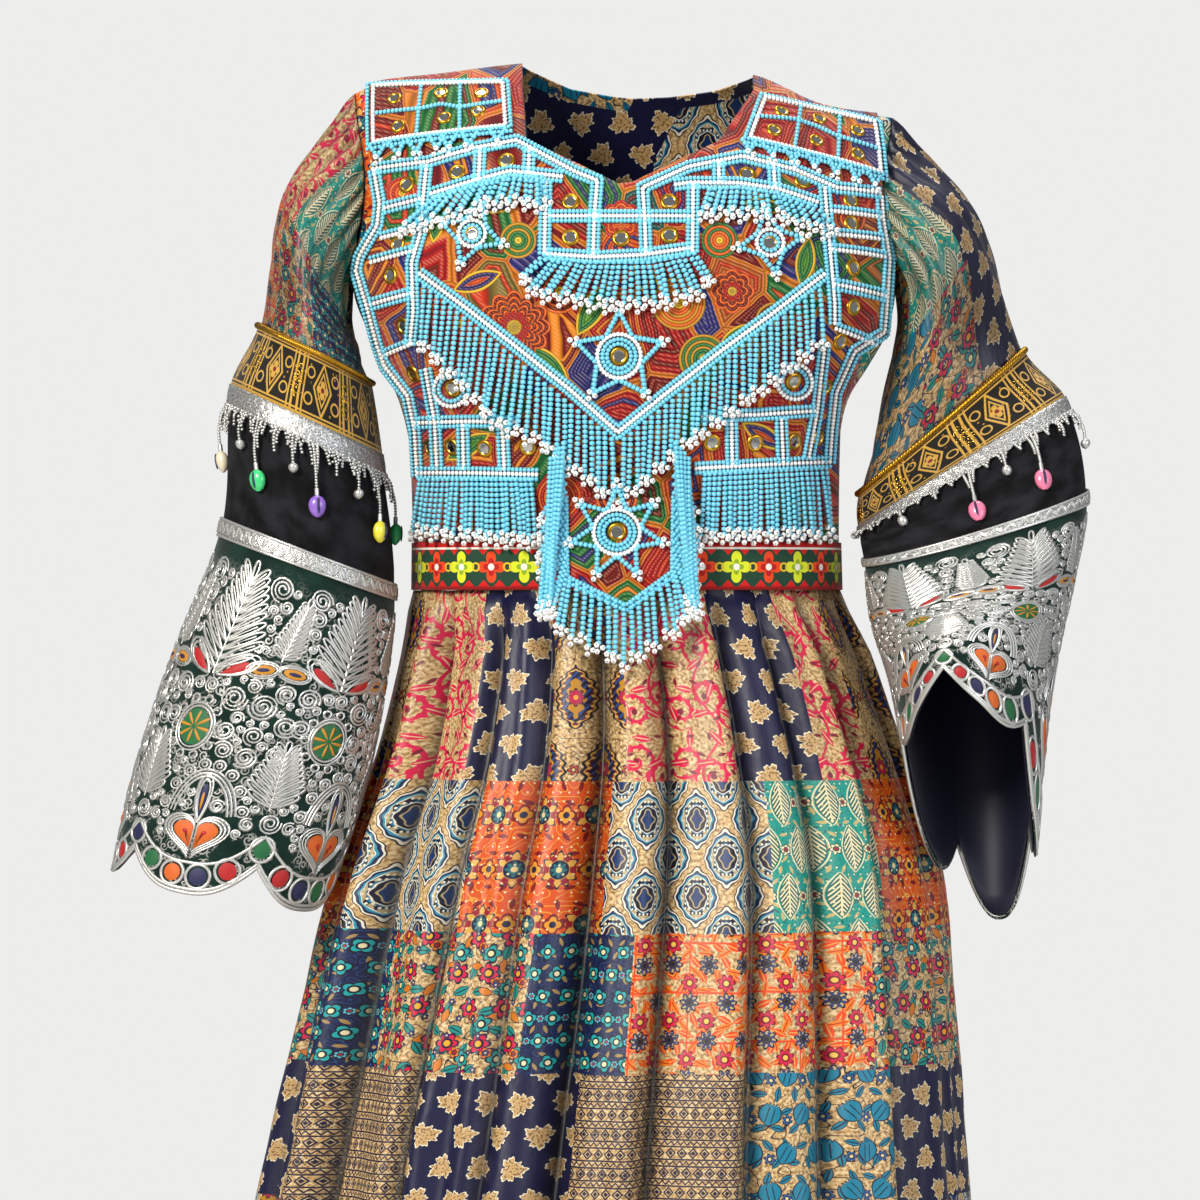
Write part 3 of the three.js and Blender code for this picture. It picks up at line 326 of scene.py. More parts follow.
def skirt_point(degrees, z):
    """Points of the skirt, and the painted shade of each one from 0 to 1, deepest in the valleys of the
    folds.
    """
    turn = np.radians(degrees)
    deep = 0
    for fold in SKIRT_FOLDS:
        away = np.abs(degrees % 360 - fold["at"])
        near = np.minimum(away, 360 - away) / fold["width"]
        deep = deep + fold["depth"] * np.exp(-near * near)
    out = skirt["large"](z) * (0.35 - deep)
    down = np.clip((WAIST_Z - z) / 260, 0, 1)
    length = np.clip((WAIST_Z - z) / 950, 0, 1)
    uneven = degrees + 5 * wave(degrees / 17, 1.0) + 3.5 * wave(z / 110 + degrees / 60, 2.0) * down
    gather = np.abs(np.cos(np.radians(uneven * 14.5)))
    fine = 1 - 2 * gather**0.8 * (0.8 + 0.35 * wave(degrees / 9, 4.0))
    held = np.clip((WAIST_Z - z) / 25, 0.25, 1) * (1 - 0.62 * down)
    out = out + 1.5 * fine * held
    # Painted shade in the valleys of the fine gathers near the waist
    shade = 0.5 * gather**4 * np.clip(1 - down * 1.4, 0, 1) * held
    for i, pleat in enumerate(SKIRT_PLEATS):
        centre = pleat["at"] + (pleat["lean"] + 1.6 * wave(z / 150, i * 1.3)) * length
        off = (degrees - centre + 180) % 360 - 180
        wide = pleat["width"] * (1.15 - 0.35 * length)
        valley = np.exp(-((off / wide) ** 2))
        crest = np.exp(-(((off - pleat["side"] * wide * 1.9) / (wide * 1.2)) ** 2))
        held = np.clip((WAIST_Z - z) / 45, 0.1, 1) * np.clip((pleat["reach"] - length) / 0.25, 0, 1)
        out = out + (pleat["depth"] * 0.5 * crest - pleat["depth"] * valley) * held
        # Painted shade in the valley of each pleat
        shade = np.maximum(
            shade,
            np.exp(-((off / wide / 0.62) ** 2)) * held * np.clip(pleat["depth"] / 15, 0.4, 1.1),
        )
    out = out + 1.5 * wave(z / 42 + degrees / 7, 3.0) * down * (1 - down * 0.4)
    depth = np.where(np.sin(turn) > 0, skirt["front"](z), skirt["back"](z))
    left, right = skirt["left"](z), skirt["right"](z)
    x = (left + right) / 2 + ((right - left) / 2 + out) * np.cos(turn)
    y = -(depth + out) * np.sin(turn)
    return np.stack(np.broadcast_arrays(x, y, z), -1), np.clip(shade, 0, 1)


# The sleeves


def armhole_ring(side):
    """The armhole's points from the shoulder tip down the front and up the back, one for each line."""
    share = -1 if side == "left" else 1
    half = SLEEVE_LINES // 2
    points = []
    for facing, order in (("front", range(half)), ("back", range(half, 0, -1))):
        ridge = 0.0
        for _ in range(5):
            ridge = float(shoulder_z(bodice_point(share, ridge, facing)[..., 0]))
        for i in order:
            part = 1 - i / half
            z = UNDERARM_Z + (ridge - UNDERARM_Z) * part
            points.append(bodice_point(share * edge_share(part), z, facing))
    return np.array(points)


def ring_points(ring):
    turn = around(SLEEVE_LINES)
    along = (1 + np.cos(turn)) / 2
    deep = np.sin(turn)
    (outer_x, outer_z), (inner_x, inner_z) = ring["outer"], ring["inner"]
    x = inner_x + (outer_x - inner_x) * along + ring["shift"] * deep
    z = inner_z + (outer_z - inner_z) * along + ring["rise"] * deep
    return np.stack([x, ring["y"] - ring["depth"] * deep, z], -1)


class Sleeve:
    """One sleeve's surface: turn is in degrees from its outer side through the front, at is down the arm."""

    def __init__(self, side):
        self.side = side
        self.outward = -1 if side == "left" else 1
        under = ((1 - np.cos(around(SLEEVE_LINES))) / 2) ** 4
        start = armhole_ring(side)
        start[:, 0] += self.outward * (0.7 + 2.4 * under)
        rings = SLEEVE_RINGS[side]
        self.at = np.array([0, *[ring["at"] for ring in rings]], float)
        self.lines = np.array([start, *[ring_points(ring) for ring in rings]])
        low = np.maximum(np.arange(len(self.at)) - 1, 0)
        high = np.minimum(np.arange(len(self.at)) + 1, len(self.at) - 1)
        self.slopes = (self.lines[high] - self.lines[low]) / (self.at[high] - self.at[low])[:, None, None]

    def line(self, index, at):
        index = index % SLEEVE_LINES
        k = np.clip(np.searchsorted(self.at, at, side="right") - 1, 0, len(self.at) - 2)
        span = self.at[k + 1] - self.at[k]
        t = ((at - self.at[k]) / span)[..., None]
        span = span[..., None]
        a, b = self.lines[k, index], self.lines[k + 1, index]
        sa, sb = self.slopes[k, index], self.slopes[k + 1, index]
        turn = sa * t * (1 - t) ** 2 - sb * t * t * (1 - t)
        return a + (b - a) * t * t * (3 - 2 * t) + span * turn

    def base(self, turn, at):
        turn, at = np.broadcast_arrays(np.asarray(turn, float), np.asarray(at, float))
        place = (turn % 360) / 360 * SLEEVE_LINES
        index = np.floor(place).astype(int)
        t = (place - index)[..., None]
        p0, p1, p2, p3 = (self.line(index + k, at) for k in (-1, 0, 1, 2))
        return p1 + 0.5 * t * (
            p2 - p0 + t * (2 * p0 - 5 * p1 + 4 * p2 - p3 + t * (3 * (p1 - p2) + p3 - p0))
        )

    def point(self, turn, at, lift=0.0):
        """Points of the surface moved off it by lift, and their outward normals."""
        turn, at = np.broadcast_arrays(np.asarray(turn, float), np.asarray(at, float))
        inside = np.clip(at, 3, HEM_AT - 3)
        around = self.base(turn + 3, inside) - self.base(turn - 3, inside)
        down = self.base(turn, inside + 3) - self.base(turn, inside - 3)
        normal = np.cross(around, down) * self.outward
        normal /= np.linalg.norm(normal, axis=-1, keepdims=True)
        out = np.asarray(lift, float)
        return self.base(turn, at) + normal * np.broadcast_to(out, turn.shape)[..., None], normal

    def girth(self, at):
        turns = np.linspace(0, 360, 73)
        points = self.base(turns, np.full(73, float(at)))
        return float(np.linalg.norm(np.diff(points, axis=0), axis=1).sum())


def scallop(turn):
    t = (turn / 360 * SCALLOPS + 0.5) % 1
    return SCALLOP_DEPTH * (1 - np.sin(math.pi * t)) ** 1.4


# Meshes


def mesh_object(name, points, faces, materials, uv=None, slots=None, flat=False):
    """An object from points in millimetres.

    uv has one pair for each corner, slots one number for each face.
    """
    mesh = bpy.data.meshes.new(name)
    faces = np.asarray(faces, np.int32)
    count, corners = faces.shape
    mesh.vertices.add(len(points))
    mesh.vertices.foreach_set("co", (np.asarray(points, np.float32) * MM).ravel())
    mesh.loops.add(count * corners)
    mesh.loops.foreach_set("vertex_index", faces.ravel())
    mesh.polygons.add(count)
    mesh.polygons.foreach_set("loop_start", np.arange(count, dtype=np.int32) * corners)
    mesh.update(calc_edges=True)
    if uv is not None:
        mesh.uv_layers.new(name="cloth").data.foreach_set("uv", np.asarray(uv, np.float32).ravel())
    for material in materials:
        mesh.materials.append(material)
    if slots is not None:
        mesh.polygons.foreach_set("material_index", np.asarray(slots, np.int32).ravel())
    mesh.polygons.foreach_set("use_smooth", np.full(count, not flat))
    mesh.update()
    made = bpy.data.objects.new(name, mesh)
    bpy.context.collection.objects.link(made)
    return made


def faces_between(rows, columns, wraps=True, loops=False):
    """Faces over a grid of points. wraps joins the ends of each row, loops the last row to the first."""
    i, k = np.meshgrid(np.arange(rows - (not loops)), np.arange(columns - (not wraps)), indexing="ij")
    j, m = (i + 1) % rows, (k + 1) % columns
    return np.stack(
        [i * columns + k, i * columns + m, j * columns + m, j * columns + k], -1,
    ).reshape(-1, 4)


def joined_mesh(name, parts, materials):
    """One piece from parts: the points, faces and material numbers of each."""
    points, faces, slots, base = [], [], [], 0
    for some, quads, numbers in parts:
        points.append(some)
        faces.append(quads + base)
        slots.append(numbers)
        base += len(some)
    made = mesh_object(
        name, np.concatenate(points), np.concatenate(faces), materials, slots=np.concatenate(slots),
    )
    return fit(made, [])


def sheet_mesh(name, grid, uv, materials, wraps=False, drop=None, slots=None, thick=CLOTH, flip=False):
    """Cloth over a grid of points, with a uv pair in millimetres at each, as a thin shell."""
    rows, columns = grid.shape[:2]
    wide = columns if wraps else columns - 1
    quads = faces_between(rows, columns, wraps)
    corner = np.stack([uv[:-1, :wide], uv[:-1, 1 : wide + 1], uv[1:, 1 : wide + 1], uv[1:, :wide]], 2)
    corner = corner.reshape(-1, 4, 2)
    if flip:
        quads = quads[:, ::-1]
        corner = corner[:, ::-1]
    if drop is not None:
        keep = ~drop.reshape(-1)
        quads, corner = quads[keep], corner[keep]
        slots = None if slots is None else slots.reshape(-1)[keep]
    made = mesh_object(name, grid.reshape(-1, 3), quads, materials, corner * MM, slots)
    if thick:
        shell = made.modifiers.new("shell", "SOLIDIFY")
        shell.thickness = thick * MM
        shell.offset = -1
        shell.use_quality_normals = True
    return made


def shade_folds(made, shades):
    """Stores a painted shade for each of the shape's points, from 0 to 1, as the fold attribute that darkens
    the print.
    """
    fold = made.data.attributes.new("fold", "FLOAT", "POINT")
    fold.data.foreach_set("value", shades.reshape(-1).astype(np.float32))


def area_of(made):
    return sum(polygon.area for polygon in made.data.polygons)


def fit(made, nodes):
    """The piece rides on the dress and stands for these nodes of the frame."""
    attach(made, "root")
    if nodes:
        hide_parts(*nodes)
    return made


def cloth(made, nodes, width, length, gather=1.0):
    """A sheet of cloth, fitted to the dress. Its flat size in metres and how much more cloth its gathers
    take up give an area that nothing uses.
    """
    fit(made, nodes)
    area = min(area_of(made) * gather, width * length)
    return made


def tubes(paths, radius, sides=6, closed=False):
    """Points and faces of round cords along paths, each an array of points."""
    points, faces, base = [], [], 0
    for path in paths:
        path = np.asarray(path, float)
        tangent = np.roll(path, -1, 0) - np.roll(path, 1, 0) if closed else np.gradient(path, axis=0)
        tangent = unit(tangent)
        side = unit(np.cross(tangent, (0.13, -0.97, 0.21)))
        ring = spokes(side, np.cross(tangent, side), sides)
        points.append((path[:, None] + radius * ring).reshape(-1, 3))
        n = len(path)
        faces.append(faces_between(n, sides, loops=closed) + base)
        base += n * sides
    return np.concatenate(points), np.concatenate(faces)


def cord_mesh(name, paths, radius, sides, material, nodes=(), closed=False):
    """Round cords along paths, as one piece."""
    points, faces = tubes(paths, radius, sides, closed)
    return fit(mesh_object(name, points, faces, [material]), nodes)


# Beads: barrels with their holes along the thread

BEAD_SIDES = 5
BEAD_PROFILE = [(-0.4, 0.3), (-0.24, 0.98), (0.24, 0.98), (0.4, 0.3)]


def bead_mesh(name, groups, materials):
    """One mesh of many beads. groups holds (points, tangents, size) arrays, one group for each material."""
    ring_count = len(BEAD_PROFILE)
    quad = faces_between(ring_count, BEAD_SIDES)
    points, faces, slots, base = [], [], [], 0
    for slot, (centres, tangents, sizes) in enumerate(groups):
        centres = np.asarray(centres, float).reshape(-1, 3)
        if not len(centres):
            continue
        tangents = unit(np.asarray(tangents, float).reshape(-1, 3))
        sizes = np.broadcast_to(np.asarray(sizes, float), (len(centres),))
        side = unit(np.cross(tangents, (0.11, -0.95, 0.29)))
        spoke = spokes(side, np.cross(tangents, side), BEAD_SIDES)
        rings = []
        for along, radius in BEAD_PROFILE:
            offset = tangents[:, None] * along + spoke * radius * 0.5
            rings.append(centres[:, None] + offset * sizes[:, None, None])
        block = np.stack(rings, 1).reshape(len(centres), -1, 3)
        per = ring_count * BEAD_SIDES
        starts = base + np.arange(len(centres))[:, None, None] * per
        points.append(block.reshape(-1, 3))
        faces.append((quad[None] + starts).reshape(-1, 4))
        slots.append(np.full(len(centres) * len(quad), slot))
        base += len(centres) * per
    return mesh_object(
        name, np.concatenate(points), np.concatenate(faces), materials, slots=np.concatenate(slots),
    )


# Colours and materials

CREAM = "#F5F0E1"
NAVY = "#1A1C4E"
RED = "#BE1419"
ORANGE = "#E06E1E"
GOLD = "#C8961E"
GREEN = "#198246"
DEEP_GREEN = "#0B211C"
VIOLET = "#3C3778"
LIME = "#DCE62A"


def rgba(colour, share=1.0):
    """A colour given as #RRGGBB, in the renderer's linear values."""
    parts = [int(colour[i : i + 2], 16) / 255 for i in (1, 3, 5)]
    return (*[share * (c / 12.92 if c <= 0.04045 else ((c + 0.055) / 1.055) ** 2.4) for c in parts], 1)


# Colours are given as they show in the studio's light, which is brighter than a plain white one
DYE = 0.9


def dye(colour):
    return rgba(colour, DYE)


class Val:
    """A number in a shader, which adds, multiplies and compares like a number."""

    def __init__(self, tree, socket):
        self.tree = tree
        self.socket = socket

    def math(self, operation, *others):
        node = self.tree.nodes.new("ShaderNodeMath")
        node.operation = operation
        for i, value in enumerate((self, *others)):
            if isinstance(value, Val):
                self.tree.links.new(value.socket, node.inputs[i])
            else:
                node.inputs[i].default_value = value
        return Val(self.tree, node.outputs[0])

    def __add__(self, other):
        return self.math("ADD", other)

    __radd__ = __add__

    def __sub__(self, other):
        return self.math("SUBTRACT", other)

    def __rsub__(self, other):
        return (self * -1) + other

    def __mul__(self, other):
        return self.math("MULTIPLY", other)

    __rmul__ = __mul__

    def __truediv__(self, other):
        return self.math("DIVIDE", other)

    def abs(self):
        return self.math("ABSOLUTE")

    def sin(self):
        return self.math("SINE")

    def cos(self):
        return self.math("COSINE")

    def sqrt(self):
        return self.math("SQRT")

    def floor(self):
        return self.math("FLOOR")

    def least(self, other):
        return self.math("MINIMUM", other)

    def most(self, other):
        return self.math("MAXIMUM", other)

    def every(self, period):
        """The number's place in a period, measured from the period's middle."""
        return ((self / period).math("FRACT") - 0.5) * period

    def below(self, limit, soft=0.35):
        """1 where the number is under the limit, 0 above, with a soft edge."""
        node = self.tree.nodes.new("ShaderNodeMapRange")
        node.interpolation_type = "SMOOTHSTEP"
        shifted = self - limit
        self.tree.links.new(shifted.socket, node.inputs["Value"])
        node.inputs["From Min"].default_value = -soft
        node.inputs["From Max"].default_value = soft
        node.inputs["To Min"].default_value = 1
        node.inputs["To Max"].default_value = 0
        return Val(self.tree, node.outputs["Result"])

    def above(self, limit, soft=0.35):
        return 1 - self.below(limit, soft)


class Finish:
    """A material under construction: painted in layers over its base colour."""

    def __init__(self, name, colour, roughness=0.6, metallic=0.0, sheen=0.0, coat=0.0, specular=0.5):
        self.material = bpy.data.materials.new(name)
        self.material.use_nodes = True
        self.tree = self.material.node_tree
        self.shader = self.tree.nodes["Principled BSDF"]
        inputs = self.shader.inputs
        inputs["Base Color"].default_value = dye(colour)
        inputs["Roughness"].default_value = roughness
        inputs["Metallic"].default_value = metallic
        inputs["Sheen Weight"].default_value = sheen
        inputs["Sheen Roughness"].default_value = 0.4
        inputs["Coat Weight"].default_value = coat
        inputs["Coat Roughness"].default_value = 0.15
        inputs["Specular IOR Level"].default_value = specular
        self.material.diffuse_color = dye(colour)
        self.colour = None
        self.base = dye(colour)
        self.cache = None

    def val(self, socket):
        return Val(self.tree, socket)

    def flat(self):
        """The cloth's own coordinates in millimetres."""
        if self.cache is None:
            source = self.tree.nodes.new("ShaderNodeUVMap")
            source.uv_map = "cloth"
            split = self.tree.nodes.new("ShaderNodeSeparateXYZ")
            self.tree.links.new(source.outputs["UV"], split.inputs[0])
            self.cache = self.val(split.outputs[0]) * 1000, self.val(split.outputs[1]) * 1000
        return self.cache

    def vector(self, x, y, z=0.0):
        node = self.tree.nodes.new("ShaderNodeCombineXYZ")
        for i, value in enumerate((x, y, z)):
            if isinstance(value, Val):
                self.tree.links.new(value.socket, node.inputs[i])
            else:
                node.inputs[i].default_value = value
        return node.outputs[0]

    def noise(self, x, y, size, detail=2.0):
        """Smooth noise from 0 to 1 with patches of about this size in millimetres."""
        node = self.tree.nodes.new("ShaderNodeTexNoise")
        self.tree.links.new(self.vector(x / size, y / size), node.inputs["Vector"])
        node.inputs["Scale"].default_value = 1
        node.inputs["Detail"].default_value = detail
        return self.val(node.outputs["Fac"])

    def chance(self, x, y, seed=0.0):
        node = self.tree.nodes.new("ShaderNodeTexWhiteNoise")
        self.tree.links.new(self.vector(x, y, seed), node.inputs["Vector"])
        return self.val(node.outputs["Value"])

    def cells(self, x, y, wide, high, stagger=0.5, shift=(0.0, 0.0)):
        """Coordinates from the middle of each cell of a staggered grid, and a random number for each."""
        v = (y + shift[1]) / high
        row = v.floor()
        u = (x + shift[0]) / wide + row * stagger
        column = u.floor()
        return (u - column - 0.5) * wide, (v - row - 0.5) * high, self.chance(column, row)

    def round(self, x, y):
        return (x * x + y * y).sqrt(), y.math("ARCTAN2", x)

    def paint(self, mask, colour):
        """Paints the colour where the mask is 1."""
        node = self.tree.nodes.new("ShaderNodeMix")
        node.data_type = "RGBA"
        if isinstance(mask, Val):
            self.tree.links.new(mask.socket, node.inputs[0])
        else:
            node.inputs[0].default_value = mask
        if self.colour is None:
            node.inputs[6].default_value = self.base
        else:
            self.tree.links.new(self.colour, node.inputs[6])
        node.inputs[7].default_value = dye(colour)
        self.colour = node.outputs[2]
        self.tree.links.new(self.colour, self.shader.inputs["Base Color"])
        return self

    def deepen(self, power):
        """Darkens the painted colours, the dark ones most."""
        node = self.tree.nodes.new("ShaderNodeGamma")
        self.tree.links.new(self.colour, node.inputs["Color"])
        node.inputs["Gamma"].default_value = power
        self.colour = node.outputs[0]
        self.tree.links.new(self.colour, self.shader.inputs["Base Color"])
        return self

    def bump(self, height, distance, strength=1.0):
        """Raises the surface by height, from 0 to 1, times a distance in millimetres."""
        node = self.tree.nodes.new("ShaderNodeBump")
        node.inputs["Distance"].default_value = distance * MM
        node.inputs["Strength"].default_value = strength
        self.tree.links.new(height.socket, node.inputs["Height"])
        self.tree.links.new(node.outputs[0], self.shader.inputs["Normal"])
        return self

    def gloss(self, mask, low, high):
        """Roughness low where the mask is 1 and high elsewhere."""
        self.tree.links.new((high + mask * (low - high)).socket, self.shader.inputs["Roughness"])
        return self


# The printed satin: one design for each patch of the print

PRINT_DEPTH = 1.24


def satin(name, colour):
    return Finish(name, colour, roughness=0.46, sheen=0.03, specular=0.42)


def sandy(name):
    """The print's gold ground, flecked with brown and cream."""
    design = satin(name, "#D6B684")
    x, y = design.flat()
    grain = design.noise(x, y, 2.6, 1)
    design.paint(grain.above(0.57, 0.03) * 0.6, "#80603A")
    design.paint(grain.below(0.42, 0.03) * 0.8, "#EFDEB6")
    return design


def finish_satin(design):
    x, y = design.flat()
    weave = (x * 3.1).sin() * (y * 3.1).sin()
    design.paint(weave.above(0.25, 0.2) * 0.16, "#20160E")
    # Painted shade: the print darkens towards near black by the fold attribute, most in the valleys of the
    # folds
    fold = design.tree.nodes.new("ShaderNodeAttribute")
    fold.attribute_name = "fold"
    design.paint(design.val(fold.outputs["Fac"]) * 0.8, "#0C0A12")
    design.deepen(PRINT_DEPTH)
    crumple = design.noise(x, y * 0.4, 15, 3)
    return design.bump(crumple, 2.4, 0.5).material


def turned(x, y, turn):
    c, s = turn.cos(), turn.sin()
    return x * c - y * s, x * s + y * c


def over(pick, low):
    """A mask for the cells whose random number is over low."""
    return pick.above(low, 0.01) if low else 1.0


def blossoms(design, wide, high, shift, petals, radius, inks, low=0.0, stagger=0.5):
    """Outlined flowers in a staggered grid: inks are the outline, the petals and the heart."""
    x, y = design.flat()
    cx, cy, pick = design.cells(x, y, wide, high, stagger, shift)
    r, a = design.round(cx, cy)
    reach = r / ((a * (petals / 2) + pick * 6).cos().abs() * 0.4 + 0.6)
    where = over(pick, low)
    design.paint(reach.below(radius, 0.2) * where, inks[0])
    design.paint(reach.below(radius * 0.8, 0.2) * where, inks[1])
    design.paint((r - radius * 0.36).abs().below(radius * 0.09, 0.15) * where, inks[0])
    design.paint(r.below(radius * 0.26, 0.2) * where, inks[2])


def leaves(design, wide, high, shift, long, broad, ink, vein=None, low=0.0, rim=None):
    """Pointed leaves that lie every way."""
    x, y = design.flat()
    cx, cy, pick = design.cells(x, y, wide, high, 0.5, shift)
    u, v = turned(cx, cy, pick * 9.4)
    blade = u.abs() + v * v * (broad / long**2)
    where = over(pick, low)
    if rim:
        design.paint(blade.below(broad + 0.6, 0.2) * where, rim)
    design.paint(blade.below(broad, 0.2) * where, ink)
    if vein:
        design.paint(u.abs().below(0.45, 0.15) * blade.below(broad * 0.7, 0.2) * where, vein)


def scrolls(design, size, lines, thin, ink, share=1.0):
    """Fine winding stems all over the ground."""
    x, y = design.flat()
    field = design.noise(x, y, size, 0)
    design.paint((field * lines).sin().abs().below(thin, 0.08) * share, ink)


def dots(design, step, radius, ink, shift=(0, 0), low=0.0):
    x, y = design.flat()
    cx, cy, pick = design.cells(x, y, step, step, 0.5, shift)
    where = over(pick, low)
    design.paint(design.round(cx, cy)[0].below(radius, 0.2) * where, ink)


def leaf_print():
    design = satin("print_leaf", NAVY)
    x, y = design.flat()
    cx, cy, pick = design.cells(x, y, 33, 25, 0.5)
    u, v = turned(cx, cy * 1.1, pick * 6.2)
    r, a = design.round(u, v)
    jag = 1 + 0.18 * (a * 3 + pick * 6).cos() + 0.15 * (a * 8 + pick * 9).cos() + 0.08 * (a * 17).sin()
    reach = r / jag
    radius = 9.0
    design.paint(reach.below(radius, 0.25), "#FCF2D8")
    design.paint(reach.below(radius - 0.9, 0.25), "#D6B684")
    grain = design.noise(x, y, 1.9, 1)
    design.paint(reach.below(radius - 1.2, 0.25) * grain.above(0.55, 0.03) * 0.8, "#80603A")
    return finish_satin(design)


def vine_print():
    design = sandy("print_vine")
    x, y = design.flat()
    pink = "#E0185E"
    for shift, way in (((0, 0), 1), ((21, 12), -1)):
        cx, cy, pick = design.cells(x, y, 42, 50, 0.5, shift)
        u, v = turned(cx, cy, pick * 2.4)
        r, a = design.round(u, v * way)
        arm = (r - 10 * a / (2 * math.pi)).every(10).abs()
        design.paint(arm.below(1.3, 0.25) * r.below(14.5, 0.3) * r.above(2), pink)
        barbs = ((a * 9).sin() * 1.8 + arm).below(1.4, 0.25) * r.above(7) * r.below(14, 0.3)
        design.paint(barbs, pink)
        design.paint(r.below(2.4, 0.3), "#8E1B3E")
    stem = (x - 8 * (y / 11).sin()).every(42).abs()
    design.paint(stem.below(1.1, 0.25), pink)
    leaves(design, 21, 19, (5, 4), 8.0, 2.6, pink, "#E8C69C")
    leaves(design, 15, 14, (1, 9), 3.6, 1.3, "#8E1B3E", None, 0.4)
    return finish_satin(design)


def medallion_print():
    design = satin("print_medallion", "#DC6414")
    x, y = design.flat()
    scrolls(design, 12, 18, 0.25, "#E8B04A", 0.9)
    leaves(design, 14, 13, (2, 5), 4.6, 1.7, "#8C1322")
    cx, cy, _ = design.cells(x, y, 42, 42, 0.5)
    r, a = design.round(cx, cy)
    design.paint((r / (0.88 + 0.12 * (a * 12).cos())).below(15.2, 0.3), NAVY)
    design.paint((r / (0.9 + 0.1 * (a * 12).cos())).below(13.4, 0.3), "#E0B45C")
    design.paint((r - 10).abs().below(2.2, 0.3) * (a * 6).cos().above(0.0, 0.3), "#A31233")
    design.paint(r.below(7.4, 0.3), NAVY)
    design.paint((r / ((a * 4).cos().abs() * 0.5 + 0.5)).below(6.2, 0.3), "#2A7F86")
    design.paint(r.below(2.2, 0.3), "#F0D9A0")
    ox, oy, _ = design.cells(x, y, 42, 42, 0.5, (21, 0))
    o, b = design.round(ox, oy)
    design.paint((o / (0.6 + 0.4 * (b * 2).cos().abs())).below(8.4, 0.3), "#8C1322")
    design.paint((o / (0.6 + 0.4 * (b * 2).cos().abs())).below(6.2, 0.3), "#E9A92E")
    design.paint(o.below(2.6, 0.3), NAVY)
    dots(design, 7, 0.8, "#F4E2B8", (0, 0), 0.35)
    return finish_satin(design)


def ogee_print():
    design = sandy("print_ogee")
    x, y = design.flat()
    g = (x * (2 * math.pi / 46)).cos() + (y * (2 * math.pi / 60)).cos()
    petal = (x * (2 * math.pi / 7.7)).cos() * 0.05 + (y * (2 * math.pi / 7.5)).cos() * 0.05
    lattice = g.abs() + petal
    for limit, colour in (
        (0.26, "#171A3E"),
        (0.36, "#F8F0DC"),
        (0.5, "#17447A"),
        (0.6, "#171A3E"),
        (0.7, "#3FA0BC"),
        (0.86, "#F8F0DC"),
        (0.93, "#171A3E"),
        (1.3, "#2585A8"),
        (1.42, "#F8F0DC"),
        (1.5, "#171A3E"),
        (1.72, "#C9B78E"),
        (1.8, "#17447A"),
    ):
        design.paint(lattice.above(limit, 0.02), colour)
    inner = lattice.above(0.96, 0.02) * lattice.below(1.28, 0.02)
    _, a = design.round(x.every(23), y.every(30))
    design.paint(inner * (a * 8).cos().above(0.1, 0.2), "#C9B78E")
    cross = ((x + y * 0.77) * (2 * math.pi / 5.75)).cos() * ((x - y * 0.77) * (2 * math.pi / 5.75)).cos()
    design.paint(cross.above(0.45, 0.1) * lattice.above(0.96, 0.02) * lattice.below(1.4, 0.02), "#F8F0DC")
    return finish_satin(design)


def damask_print():
    design = satin("print_damask", "#10A698")
    x, y = design.flat()
    scrolls(design, 7, 17, 0.26, "#0F6E70", 0.9)
    leaves(design, 9, 9, (3, 2), 3.6, 1.3, "#CDBB86", None, 0.2)
    cx, cy, _ = design.cells(x, y, 27, 36, 0.5)
    envelope = cx.abs() + (cy * cy) / 36
    ribs = ((cy + cx.abs() * 1.15) * (2 * math.pi / 3.6)).sin()
    design.paint(envelope.below(8.2, 0.25), "#12706E")
    design.paint(envelope.below(7.4, 0.25) * ribs.above(0.1, 0.25), "#F0E4BE")
    design.paint(cx.abs().below(0.6, 0.25) * cy.abs().below(16), "#F0E4BE")
    design.paint((envelope - 9.4).abs().below(0.5, 0.2), "#F0E4BE")
    blossoms(design, 27, 36, (13, 0), 6, 4.8, ("#0D3B4A", "#F0E4BE", "#A31233"))
    dots(design, 5.4, 0.65, "#F0E4BE", (1, 1), 0.4)
    return finish_satin(design)


def posy_print():
    design = sandy("print_posy")
    scrolls(design, 14, 15, 0.16, "#1E1E44", 0.95)
    ink = "#1E1E44"
    leaves(design, 17, 15, (6, 5), 6.4, 3.0, "#0FA097", ink, 0.0, ink)
    leaves(design, 21, 19, (2, 9), 5.6, 2.6, "#D98A1E", None, 0.35, ink)
    blossoms(design, 28, 27, (3, 0), 6, 9.0, (ink, "#DE1558", "#F0B83A"))
    blossoms(design, 28, 27, (17, 12), 5, 8.0, (ink, "#10ABA6", "#F0E2B4"), 0.5)
    blossoms(design, 28, 27, (9, 7), 5, 5.0, (ink, "#EE8C14", "#A31233"), 0.4)
    blossoms(design, 14, 13, (2, 2), 5, 2.8, (ink, "#3A4A8C", "#E8D9A8"), 0.45)
    return finish_satin(design)


def dot_flower_print():
    design = satin("print_dot_flower", "#1A2659")
    scrolls(design, 8, 18, 0.26, "#2E5C8C", 0.9)
    leaves(design, 9.5, 9.5, (4, 4), 3.6, 1.3, "#B59A66", None, 0.3)
    blossoms(design, 17, 17, (0, 0), 4, 7.0, ("#0F1632", "#22B4B6", "#F6E8C0"))
    blossoms(design, 17, 17, (8.5, 0), 6, 3.4, ("#0F1632", "#7FD0E0", "#B01238"), 0.2)
    return finish_satin(design)


